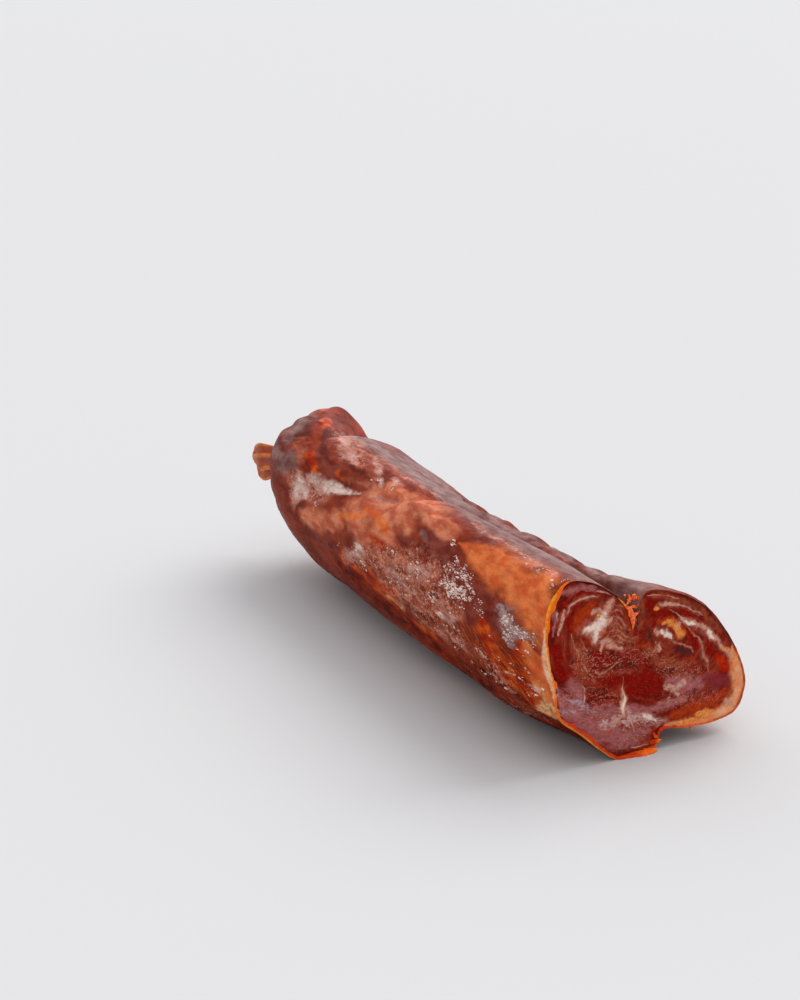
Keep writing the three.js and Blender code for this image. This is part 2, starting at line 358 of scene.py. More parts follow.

# Stains of the casing as strokes of (degrees round the loin, distance from the cut, half width).
# Paprika fat shows orange through the casing, lean meat maroon, and the bloom is dry and pale.
# Some strokes are painted light: dark lines in the crease and folds and the dark red low on the
# flank are painted shade, the red-orange glow there is partly painted bounce light, and the grey
# mauve along the top is partly a painted sheen.
CASING_STAINS = {
    "orange": [
        [(139, 52, 0.4), (139, 46, 1.6), (139, 40, 3), (139, 34, 4.2), (140, 26, 4.9), (141, 18, 5.2),
         (143.5, 10, 5.4), (147, 4, 5.2), (150, 0, 4.6)],
        [(158, 121, 0.9), (154, 115, 1.2), (150, 109, 1.1)],
        [(149, 104, 1.1), (151, 98, 1.5), (152, 93, 1)],
        [(165, 9, 1), (171, 7, 2), (179, 6, 2.4), (187, 4.5, 2), (193, 3, 1.2)],
    ],
    "salmon": [
        [(127, 96, 2.2), (129, 89, 3.2), (131, 82, 3.6), (133, 75, 3.2), (135, 68, 2.4), (137, 60, 2)],
        [(133, 104, 3), (138, 97, 4.2), (142, 89, 3.8), (143, 81, 2.2)],
        [(141, 111, 3), (146, 104, 4), (151, 96, 3.8), (154, 90, 2.4)],
        [(152, 117, 2.8), (157, 110, 3.2), (160, 104, 2.4)],
        [(160, 122, 2.2), (165, 128, 2.2), (168, 138, 2.8), (172, 149, 2)],
        [(186, 87, 1.2), (188, 82, 1.2)],
    ],
    "maroon": [
        [(141, 68, 1.8), (145, 61, 2.8), (150, 53, 3), (154, 45, 2.4)],
        [(155, 40, 2), (158, 33, 3), (162, 28, 3), (167, 37, 2.2)],
        [(153, 31, 1.8), (154, 24, 1.6), (152, 15, 0.8)],
        [(150, 83, 1.8), (152, 76, 1.6)],
        [(136, 158, 1.4), (136, 150, 2.2), (138, 142, 2.6), (138, 134, 1.6)],
        [(132, 180, 3), (142, 178, 4.6), (152, 178, 4), (158, 172, 2.8), (166, 166, 2.4)],
        [(176, 126, 1.8), (180, 136, 2.2)],
    ],
    # Umber lines: mostly painted shade in the crease before the knob, the long fold's valley and the wrinkles
    # across the right shoulder, with a few dark lines on the lower flank.
    "umber_and_crease_shade": [
        [(104, 164, 0.6), (112, 165, 0.8), (119, 165, 1), (125, 162, 1.2), (130, 157, 1.1),
         (133, 150, 0.9), (134, 142, 0.5)],
        [(126, 173, 1), (131, 171, 1.6), (135, 173, 1)],
        [(131, 138, 0.6), (133, 130, 0.7), (134, 122, 0.4)],
        [(183, 62, 0.8), (185, 73, 1), (184, 81, 0.9)],
        [(171, 114, 0.5), (171, 106, 0.6), (174, 98, 0.5)],
        [(58, 47, 0.9), (72, 42, 1.3), (84, 37, 1.6), (94, 33, 1.4)],
        [(58, 68, 0.8), (76, 64, 1), (91, 60, 0.8)],
        [(64, 97, 0.6), (80, 92, 0.8), (93, 85, 0.5)],
        [(60, 110, 0.6), (76, 104, 0.8), (91, 98, 0.5)],
        [(66, 30, 0.5), (80, 26, 0.6), (92, 22, 0.4)],
    ],
    # Painted shade: dark red low on the left flank, where the loin turns under.
    "underside_shade": [
        [(188, 126, 1.6), (192, 113, 2.8), (197, 100, 3.8), (200, 86, 3.8), (203, 74, 3),
         (205, 58, 2.6), (207, 44, 2.2), (209, 30, 2.2)],
        [(194, 40, 1.2), (197, 28, 1.6), (200, 18, 1.8)],
    ],
    "rose": [
        [(110, 161, 2.2), (114, 154, 3.2), (118, 146, 3.6), (122, 138, 3.4), (125, 130, 3),
         (127, 122, 2.2)],
        [(119, 128, 2.4), (115, 119, 2.4), (118, 110, 1.8)],
        [(124, 133, 2), (127, 126, 2.4), (131, 120, 1.8)],
        [(140, 130, 1.4), (139, 122, 1.8), (136, 114, 1.4)],
        [(158, 148, 2.2), (158, 140, 2.2), (156, 133, 1.4)],
        [(131, 79, 2.2), (134, 72, 2.2), (136, 64, 1.4)],
        [(135, 171, 2), (139, 165, 2.6), (146, 161, 2)],
        [(156, 160, 3.2), (152, 147, 3.4), (156, 138, 2.2)],
        [(157, 158, 2.2), (162, 157, 2.4), (167, 158, 1.4)],
        [(104, 80, 1.4), (105, 66, 1.6), (104, 52, 1.2)],
        [(157, 58, 2.6), (162, 72, 4), (167, 86, 4.2), (170, 98, 3)],
        [(168, 44, 2.4), (173, 56, 4.2), (178, 70, 4.6), (181, 84, 3.6)],
        [(185, 40, 2.6), (189, 52, 3.2), (189, 66, 2.4)],
        [(172, 104, 2), (177, 113, 2.2), (182, 120, 1.4)],
    ],
    # Grey mauve along the top ridge, at the far end and beyond the fold: partly the casing's own tone, partly
    # a painted sheen.
    "mauve_and_sheen": [
        [(120, 0, 5.2), (119.5, 20, 6.2), (118, 40, 6.4), (115.5, 60, 5.8), (111, 80, 4.8),
         (107, 95, 5), (104, 110, 6), (104, 126, 6.4), (106, 142, 5.4), (108, 154, 3.6)],
        [(148, 165, 2.6), (153, 172, 3), (150, 180, 2.4)],
        [(125, 177, 1.8), (132, 176, 2.6), (139, 176, 2.2)],
        [(145, 71, 0.8), (147, 68, 0.8)],
    ],
    # Red-orange stains, and on the lower flank a painted warm glow of light bounced up from below.
    "ember_and_bounce_glow": [
        [(136, 159, 0.8), (139, 155, 1.2), (142, 152, 1.2), (146, 151, 0.8)],
        [(112, 175, 0.9), (116, 172, 1.3), (119, 168, 1)],
        [(102, 186, 0.9), (107, 184, 1.1)],
        [(176, 101, 1), (180, 96, 1.6), (183, 90, 1.6), (181, 85, 1)],
        [(180, 121, 1.2), (184, 111, 1.6), (188, 100, 1.8), (191, 88, 1.6)],
        [(194, 74, 1.4), (197, 67, 1.6), (197, 60, 1)],
        [(159, 99, 0.8), (161, 94, 0.8)],
        [(138, 136, 0.7), (140, 133, 0.7)],
        [(125, 92, 1.2), (126, 84, 1)],
        [(151, 14, 0.6), (154, 9, 0.7)],
        [(166, 30, 1.2), (172, 28, 2.2), (180, 25, 2.8), (188, 19, 3), (196, 14, 3), (203, 10, 2.4)],
        [(168, 13, 1.4), (177, 12, 2.2), (186, 10, 2.4), (193, 8, 2)],
    ],
    "haze": [
        [(154, 52, 2), (158, 62, 3.6), (163, 74, 3.8), (167, 88, 3.4), (168, 98, 2.4)],
        [(168, 46, 2.4), (173, 58, 4), (177, 72, 4), (180, 88, 2.6)],
        [(167, 106, 1.6), (174, 103, 1.8), (177, 111, 2.2), (181, 118, 1.6)],
        [(184, 46, 2.4), (188, 52, 2.6), (189, 64, 2)],
        [(184, 32, 1.4), (192, 27, 2), (199, 22, 1.6)],
        [(113, 160, 2.6), (117, 154, 3), (121, 147, 2.8), (125, 140, 2.4), (127, 132, 1.8)],
        [(127, 60, 0.4), (128, 45, 0.5), (129, 33, 0.5), (130, 22, 0.6), (132, 14, 0.8), (134, 6, 0.7)],
        [(156, 160, 2.2), (155, 148, 2.4), (156, 138, 1.4)],
        [(162, 157, 2), (167, 158, 1.2)],
        [(120, 108, 1), (116, 96, 0.8)],
    ],
    "bloom": [
        [(149, 150, 1.4), (149, 144, 2.4), (149, 138, 2.6), (147, 131, 1.9), (145, 126, 1.2),
         (142, 120, 0.6)],
        [(156, 157, 1.8), (160, 155, 2)],
        [(166, 109, 0.8), (168, 104, 0.9)],
        [(179, 57, 0.5), (177, 52, 1.1), (175, 48, 0.6)],
        [(188, 13, 0.5), (190, 9, 0.6)],
    ],
    "pink": [
        [(117, 158, 1.4), (120, 152, 2.2), (123, 145, 2.6), (126, 139, 2.2), (129, 133, 1)],
        [(120, 128, 0.7), (124, 122, 0.9), (128, 117, 1), (133, 113, 0.9)],
        [(126, 110, 0.8), (129, 106, 0.8)],
        [(163, 158, 1.8), (167, 157, 1.2)],
        [(152, 159, 1.6), (155, 152, 2)],
        [(171, 104, 1.2), (175, 110, 1.6), (179, 116, 1.2)],
        [(170, 54, 1.4), (173, 49, 1.6), (171, 44, 0.8)],
        [(168, 84, 1.6), (172, 79, 2), (175, 72, 1.2)],
        [(158, 62, 1.2), (161, 67, 1.4), (163, 74, 1)],
        [(187, 58, 0.8), (189, 50, 1.2), (188, 42, 0.8)],
        [(141, 112, 0.6), (138, 104, 0.8), (136, 97, 0.6)],
    ],
    "frost": [
        [(154.5, 21.5, 1), (158, 19, 1.9), (162, 17.8, 2.3), (166, 17, 1.9), (171, 16.5, 0.8)],
        [(160, 15, 1.4), (160, 10, 1.1), (158.5, 4.5, 0.6)],
    ],
    "beige": [
        [(206, 11, 1), (202, 7, 1.9), (198, 3, 2.4), (194, 0, 1.8)],
        [(186, 9, 0.5), (189, 8, 0.9), (192, 6, 1.1)],
        [(187, 88, 0.8), (188, 82, 0.9)],
    ],
}
STAIN_ANGLE = 140.0
STAIN_SOFTNESS = 0.9
STAIN_WANDER = [(4, 1.2), (1.7, 0.6)]
MOTTLE = [(12, 1), (4.5, 0.5)]

# Reach of the pale lip where the casing's edge is rolled outwards, as (degrees, millimetres).
LIP_REACH = [
    (150, 0), (155, 0.5), (160, 1.6), (165, 3.2), (170, 3.4), (176, 2.6), (184, 1.9), (191, 1),
    (196, 0),
]


def strokes(across, along, paths, soft):
    """Mask of strokes: 1 along the middle of each path, easing to 0 on both sides of its half width.
    A softer stroke eases over more of its width."""
    mask = np.zeros(np.shape(across))
    for path in paths:
        for (u0, v0, w0), (u1, v1, w1) in zip(path, path[1:]):
            du, dv = u1 - u0, v1 - v0
            share = np.clip(((across - u0) * du + (along - v0) * dv) / (du * du + dv * dv), 0, 1)
            gap = np.hypot(across - u0 - share * du, along - v0 - share * dv)
            mask = np.maximum(mask, 1 - ease(1 - soft, 1 + soft, gap / mix(w0, w1, share)))
    return mask


def clipped(masks):
    """Masks held between 0 and 1."""
    return {label: np.clip(values, 0, 1) for label, values in masks.items()}


def casing_masks(degrees, distance, points):
    """Every stain of the casing, painted shade, glow and sheen among them. The left flank has its own
    strokes, drawn out along it, with edges that wander by noise of two sizes. The sides that face away
    are mottled by noise in the same colours. The underside gets painted shade and a painted warm glow,
    and the right lobe's top a painted grey sheen."""
    drawn = points / [1, DRAWN_OUT, 1]
    sideways = turn(STAIN_ANGLE, degrees) * DEGREE_ARC + layered(drawn, STAIN_WANDER)
    lengthways = distance / DRAWN_OUT + layered(drawn + 40, STAIN_WANDER)
    masks = {}
    for label, paths in CASING_STAINS.items():
        placed = [
            [((angle - STAIN_ANGLE) * DEGREE_ARC, spot / DRAWN_OUT, half) for angle, spot, half in path]
            for path in paths
        ]
        masks[label] = strokes(sideways, lengthways, placed, STAIN_SOFTNESS)
    drift = [layered(drawn + 17 * step, MOTTLE) for step in range(6)]
    away = 1 - ease(36, 64, degrees) * (1 - ease(202, 226, degrees))
    # The underside, painted darker as shade, with a painted warm glow of light bounced up from below.
    shaded_underside = ease(200, 222, degrees) * (1 - ease(300, 330, degrees))
    before_end = 1 - ease(138, 172, distance + 14 * drift[1])
    right_top = band(62, 99, 16, degrees + 14 * drift[0]) * before_end
    masks["orange"] += away * (1 - shaded_underside) * ease(0.35, 0.8, drift[0])
    masks["salmon"] += away * ease(0.05, 0.6, drift[1])
    masks["maroon"] += away * ease(0.1, 0.6, drift[2])
    masks["umber_and_crease_shade"] += 0.6 * away * ease(0.3, 0.8, -drift[2])
    # Painted shade on the underside.
    masks["underside_shade"] += shaded_underside * ease(-0.5, 0.3, drift[0])
    # Grey mauve on the right lobe's top, partly a painted sheen, and mottled on the sides facing away.
    masks["mauve_and_sheen"] += 0.9 * right_top + 0.6 * away * ease(0.2, 0.7, drift[3])
    # Painted warm glow of bounce light on the underside.
    masks["ember_and_bounce_glow"] += 0.7 * shaded_underside * ease(0, 0.7, drift[1])
    masks["haze"] += away * ease(0.2, 0.9, drift[5])
    masks["bloom"] += 0.7 * away * (1 - shaded_underside) * ease(0.55, 0.95, drift[4])
    masks["pink"] += 0.6 * away * ease(0.3, 0.9, -drift[5])
    masks["strands"] = strand_share(degrees, distance) * mix(0.3, 1, ease(4, 15, distance))
    lip_reach = np.interp(degrees, *np.transpose(LIP_REACH))
    lip_place = (distance + 0.7 * grain(points, 2.4)) / np.maximum(lip_reach, 0.3)
    masks["lip"] = ease(0.1, 0.6, lip_reach) * (1 - ease(0.6, 1.3, lip_place))
    masks["sheen"] = 0.4 * bell(turn(113, degrees), 13) + 0.2 * bell(turn(78, degrees), 20)
    masks = clipped(masks)
    masks["strand"] = strand_place(degrees, distance) + grain(points, DRIFT_SIZE)
    masks["along"] = distance
    return masks


def srgb(red, green, blue):
    """Colour given as display values from 0 to 255, in the linear values that shaders take."""
    share = np.array([red, green, blue]) / 255
    linear = np.where(share <= 0.04045, share / 12.92, ((share + 0.055) / 1.055) ** 2.4)
    return (*linear.tolist(), 1.0)


def feed(tree, socket, value):
    """Joins an input to another node's output, or sets it to a plain value."""
    if isinstance(value, bpy.types.NodeSocket):
        tree.links.new(value, socket)
    else:
        socket.default_value = value


def add_node(tree, kind, inputs=None, **settings):
    """One shader node with its settings, and its inputs by name or number."""
    node = tree.nodes.new("ShaderNode" + kind)
    for setting, value in settings.items():
        setattr(node, setting, value)
    for key, value in (inputs or {}).items():
        feed(tree, node.inputs[key], value)
    return node


def mask_of(tree, label):
    """A piece's own mask, read from its points."""
    return add_node(tree, "Attribute", attribute_name=label).outputs["Fac"]


def work(tree, operation, *values):
    """Sum, product or other arithmetic of values."""
    return add_node(tree, "Math", dict(enumerate(values)), operation=operation).outputs[0]


def noise_at(tree, place, scale, detail, roughness=0.5):
    """Noise at a place that is given as a vector."""
    inputs = {"Vector": place, "Scale": scale, "Detail": detail, "Roughness": roughness}
    return add_node(tree, "TexNoise", inputs).outputs["Fac"]


def noise_of(tree, size, detail=3.0, roughness=0.6, drawn=1.0):
    """Noise with features of a size in millimetres, fixed to the piece, and drawn out along it."""
    place = add_node(tree, "TexCoord").outputs["Object"]
    scale = 1 / (size * MM)
    inputs = {"Vector": place, "Scale": (scale, scale / drawn, scale)}
    return noise_at(tree, add_node(tree, "Mapping", inputs).outputs[0], 1.0, detail, roughness)


def remap(tree, value, start, end, low=0.0, high=1.0):
    """Smooth step of a value between start and end, from low to high."""
    inputs = {"Value": value, 1: start, 2: end, 3: low, 4: high}
    return add_node(tree, "MapRange", inputs, interpolation_type="SMOOTHSTEP").outputs["Result"]


def ragged(tree, mask, noise, strength, reach):
    """A mask broken up by noise: the mask times its strength, plus the noise's swing times its
    reach and times the mask's cover, eased from nothing to full. Nothing shows outside the mask."""
    cover = work(tree, "MULTIPLY", mask, work(tree, "SUBTRACT", 2.0, mask))
    swing = work(tree, "MULTIPLY", cover, work(tree, "MULTIPLY_ADD", noise, reach, -reach / 2))
    return remap(tree, work(tree, "MULTIPLY_ADD", mask, strength, swing), 0.08, 0.92)


def veins_of(tree, size, width):
    """Fine wandering lines: where noise of a size passes its middle value."""
    noise = noise_of(tree, size, 4.0, 0.55, DRAWN_OUT)
    off = work(tree, "ABSOLUTE", work(tree, "SUBTRACT", noise, 0.5))
    return remap(tree, off, 0.0, width, 1.0, 0.0)


def paint_over(tree, below, above, mask, blend="MIX"):
    """Lays a colour over another where the mask is."""
    inputs = {"Factor": mask, 6: below, 7: above}
    return add_node(tree, "Mix", inputs, data_type="RGBA", blend_type=blend).outputs[2]


def paint_layers(tree, colour, layers):
    """Lays stains over a colour in turn, each given as its mask's name, its tint, the noise that
    breaks it up, its strength and the noise's reach."""
    for label, tint, noise, strength, reach in layers:
        mask = ragged(tree, mask_of(tree, label), noise, strength, reach)
        colour = paint_over(tree, colour, tint, mask)
    return colour


def shade_by(tree, colour, level):
    """A colour made darker or brighter by a level, with 1 as it was."""
    shade = add_node(tree, "CombineColor", {0: level, 1: level, 2: level}).outputs[0]
    return paint_over(tree, colour, shade, 1.0, "MULTIPLY")


def uneven_dye_group():
    """Effect shared by every cured surface: colour that is deeper and paler in patches of two
    sizes, as dye and fat soak in unevenly."""
    group = bpy.data.node_groups.new("uneven_dye", "ShaderNodeTree")
    group.interface.new_socket("Colour", in_out="INPUT", socket_type="NodeSocketColor")
    for label in ("Patch size", "Depth", "Drawn out"):
        group.interface.new_socket(label, in_out="INPUT", socket_type="NodeSocketFloat")
    group.interface.new_socket("Colour", in_out="OUTPUT", socket_type="NodeSocketColor")
    given = group.nodes.new("NodeGroupInput").outputs
    shorter = work(group, "DIVIDE", 1.0, given["Drawn out"])
    stretch = add_node(group, "CombineXYZ", {"X": 1.0, "Y": shorter, "Z": 1.0}).outputs[0]
    place = add_node(group, "TexCoord").outputs["Object"]
    place = add_node(group, "VectorMath", {0: place, 1: stretch}, operation="MULTIPLY").outputs[0]
    scale = work(group, "DIVIDE", 1 / MM, given["Patch size"])
    coarse = noise_at(group, place, scale, 5.0, 0.65)
    fine = noise_at(group, place, work(group, "MULTIPLY", scale, 5.3), 4.0, 0.7)
    both = work(group, "MULTIPLY_ADD", fine, 0.6, coarse)
    swing = work(group, "MULTIPLY", work(group, "SUBTRACT", both, 0.8), given["Depth"])
    dyed = shade_by(group, given["Colour"], work(group, "MULTIPLY_ADD", swing, 2.0, 1.0))
    group.links.new(dyed, group.nodes.new("NodeGroupOutput").inputs["Colour"])
    return group


uneven_dye = uneven_dye_group()


def dye(tree, colour, patch_size, depth, drawn=1.0):
    """Places the uneven dye in a material with its own patch size in millimetres and depth."""
    node = tree.nodes.new("ShaderNodeGroup")
    node.node_tree = uneven_dye
    given = {"Colour": colour, "Patch size": patch_size, "Depth": depth, "Drawn out": drawn}
    for label, value in given.items():
        feed(tree, node.inputs[label], value)
    return node.outputs["Colour"]


def new_finish(name):
    """A material with its shader."""
    material = bpy.data.materials.new(name)
    material.use_nodes = True
    return material, material.node_tree, material.node_tree.nodes["Principled BSDF"]


def set_surface(tree, shader, colour, roughness):
    """Feeds a finish's colour and roughness."""
    feed(tree, shader.inputs["Base Color"], colour)
    feed(tree, shader.inputs["Roughness"], roughness)


def set_bump(tree, shader, height, strength, depth):
    """Feeds a finish's fine relief from a height, as deep as stated in millimetres."""
    inputs = {"Height": height, "Strength": strength, "Distance": depth * MM}
    feed(tree, shader.inputs["Normal"], add_node(tree, "Bump", inputs).outputs["Normal"])


def casing_finish():
    """Dry natural casing: maroon over lean meat, orange over paprika fat, grey mauve along the top that
    is partly a painted sheen, dusted with bloom. Painted shade darkens the crease, the folds and the
    underside, and a painted warm glow of bounce light lies on the lower flank. Thin and slightly
    glossy, with a fine crinkle."""
    material, tree, shader = new_finish("casing")
    patches = noise_of(tree, 6.0, 4.0, 0.6, DRAWN_OUT)
    tints = noise_of(tree, 3.4, 3.0, 0.5, DRAWN_OUT)
    wisps = noise_of(tree, 2.2, 4.0, 0.6, DRAWN_OUT)
    dust = noise_of(tree, 0.9, 3.0, 0.6, DRAWN_OUT)

    def between(first, second):
        """A tint that wanders between two colours."""
        return paint_over(tree, first, second, remap(tree, tints, 0.36, 0.64))

    lean = paint_over(tree, srgb(112, 34, 20), srgb(144, 54, 30), remap(tree, patches, 0.35, 0.65))
    colour = paint_layers(tree, dye(tree, lean, 8.0, 0.4, DRAWN_OUT), [
        ("maroon", between(srgb(108, 34, 24), srgb(136, 62, 50)), wisps, 0.85, 1.4),
        ("rose", between(srgb(140, 58, 36), srgb(178, 98, 74)), wisps, 0.7, 1.8),
        ("salmon", between(srgb(182, 86, 58), srgb(218, 132, 96)), patches, 1.0, 1.0),
        # Red-orange, partly a painted warm glow of bounce light on the lower flank.
        ("ember_and_bounce_glow", between(srgb(164, 36, 8), srgb(208, 88, 24)), wisps, 0.9, 1.6),
        ("orange", between(srgb(208, 90, 44), srgb(230, 124, 66)), patches, 1.1, 1.9),
        # Grey mauve, partly a painted sheen on the top.
        ("mauve_and_sheen", between(srgb(116, 74, 67), srgb(146, 108, 101)), wisps, 0.9, 1.2),
        # Dark umber, mostly painted shade in the crease and folds.
        ("umber_and_crease_shade", srgb(92, 28, 16), wisps, 0.75, 1.4),
        # Painted shade: dark red on the lower flank and underside.
        ("underside_shade", between(srgb(64, 4, 0), srgb(132, 32, 5)), wisps, 1.0, 1.2),
    ])

    across = work(tree, "DIVIDE", mask_of(tree, "strand"), 0.6)
    along = work(tree, "DIVIDE", mask_of(tree, "along"), 4.0)
    strand_way = add_node(tree, "CombineXYZ", {"X": across, "Y": along}).outputs[0]
    strands = noise_at(tree, strand_way, 1.0, 3.0, 0.6)
    shown = mask_of(tree, "strands")
    dark = work(tree, "MULTIPLY", shown, remap(tree, strands, 0.48, 0.36, 0.0, 0.75))
    colour = paint_over(tree, colour, srgb(96, 16, 4), dark)
    light = work(tree, "MULTIPLY", shown, remap(tree, strands, 0.53, 0.66, 0.0, 0.8))
    colour = paint_over(tree, colour, srgb(216, 96, 44), light)

    haze = mask_of(tree, "haze")
    flecks = remap(tree, noise_of(tree, 1.9, 4.0, 0.66, DRAWN_OUT), 0.46, 0.6, 0.0, 0.7)
    colour = paint_over(tree, colour, srgb(212, 136, 106), work(tree, "MULTIPLY", haze, flecks))
    salt = remap(tree, noise_of(tree, 0.75, 2.0, 0.6, 1.5), 0.56, 0.64, 0.0, 0.7)
    colour = paint_over(tree, colour, srgb(224, 168, 148), work(tree, "MULTIPLY", haze, salt))
    colour = paint_layers(tree, colour, [
        ("beige", between(srgb(200, 116, 66), srgb(238, 184, 130)), dust, 0.8, 2.2),
        ("lip", between(srgb(240, 156, 100), srgb(246, 206, 178)), dust, 1.0, 1.6),
        ("pink", between(srgb(178, 112, 94), srgb(206, 156, 142)), wisps, 0.65, 1.8),
        ("bloom", between(srgb(192, 146, 132), srgb(224, 194, 180)), wisps, 0.88, 1.9),
        ("frost", between(srgb(118, 86, 82), srgb(176, 146, 142)), dust, 0.85, 2.6),
    ])
    vein = work(tree, "MULTIPLY", veins_of(tree, 5.0, 0.025), 0.16)
    colour = paint_over(tree, colour, srgb(90, 18, 10), vein)

    dry = work(tree, "MAXIMUM", mask_of(tree, "bloom"), mask_of(tree, "frost"))
    roughness = work(tree, "MULTIPLY_ADD", dry, 0.3, remap(tree, wisps, 0.3, 0.7, 0.34, 0.54))
    set_surface(tree, shader, dye(tree, colour, 2.2, 0.42, DRAWN_OUT), roughness)
    shader.inputs["Specular IOR Level"].default_value = 0.02
    sheen = work(tree, "MULTIPLY", mask_of(tree, "sheen"), remap(tree, wisps, 0.3, 0.6))
    feed(tree, shader.inputs["Coat Weight"], sheen)
    shader.inputs["Coat Roughness"].default_value = 0.34
    crinkle = work(tree, "MULTIPLY_ADD", dust, 0.5, noise_of(tree, 1.8, 4.0, 0.6, DRAWN_OUT))
    set_bump(tree, shader, crinkle, 0.6, 0.4)
    return material


loin_casing = add_piece("loin_casing", skin_points, casing_masks(degrees, distance, skin_points))
finish_piece(loin_casing, casing_finish())
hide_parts("cured_loin")


# The cut face
# The lean of two rolled muscles, cut straight across with a knife: dark red, moist, with swirls of
# fibre, white streaks and lumps of fat, and a peach band of fat under the casing at the lower right.

FACE_SIDES = 640
FACE_RINGS = 110
FACE_INSET = 0.3
FACE_RECESS = 0.3
FACE_THICKNESS = 1.2
FACE_CROWDING = 0.8
FACE_RIM = 1.5
FACE_LUMPS = [(7, 0.24), (2.4, 0.12), (0.9, 0.05)]
MARBLING_RISE = {"fat": 0.22, "pale": 0.1, "deep": -0.12}
PEACH_WIDTH = 4.4
LEFT_MUSCLE = (-14.5, 40.0)
RIGHT_MUSCLE = (8.5, 33.5)
MUSCLE_BLEND = 4.0
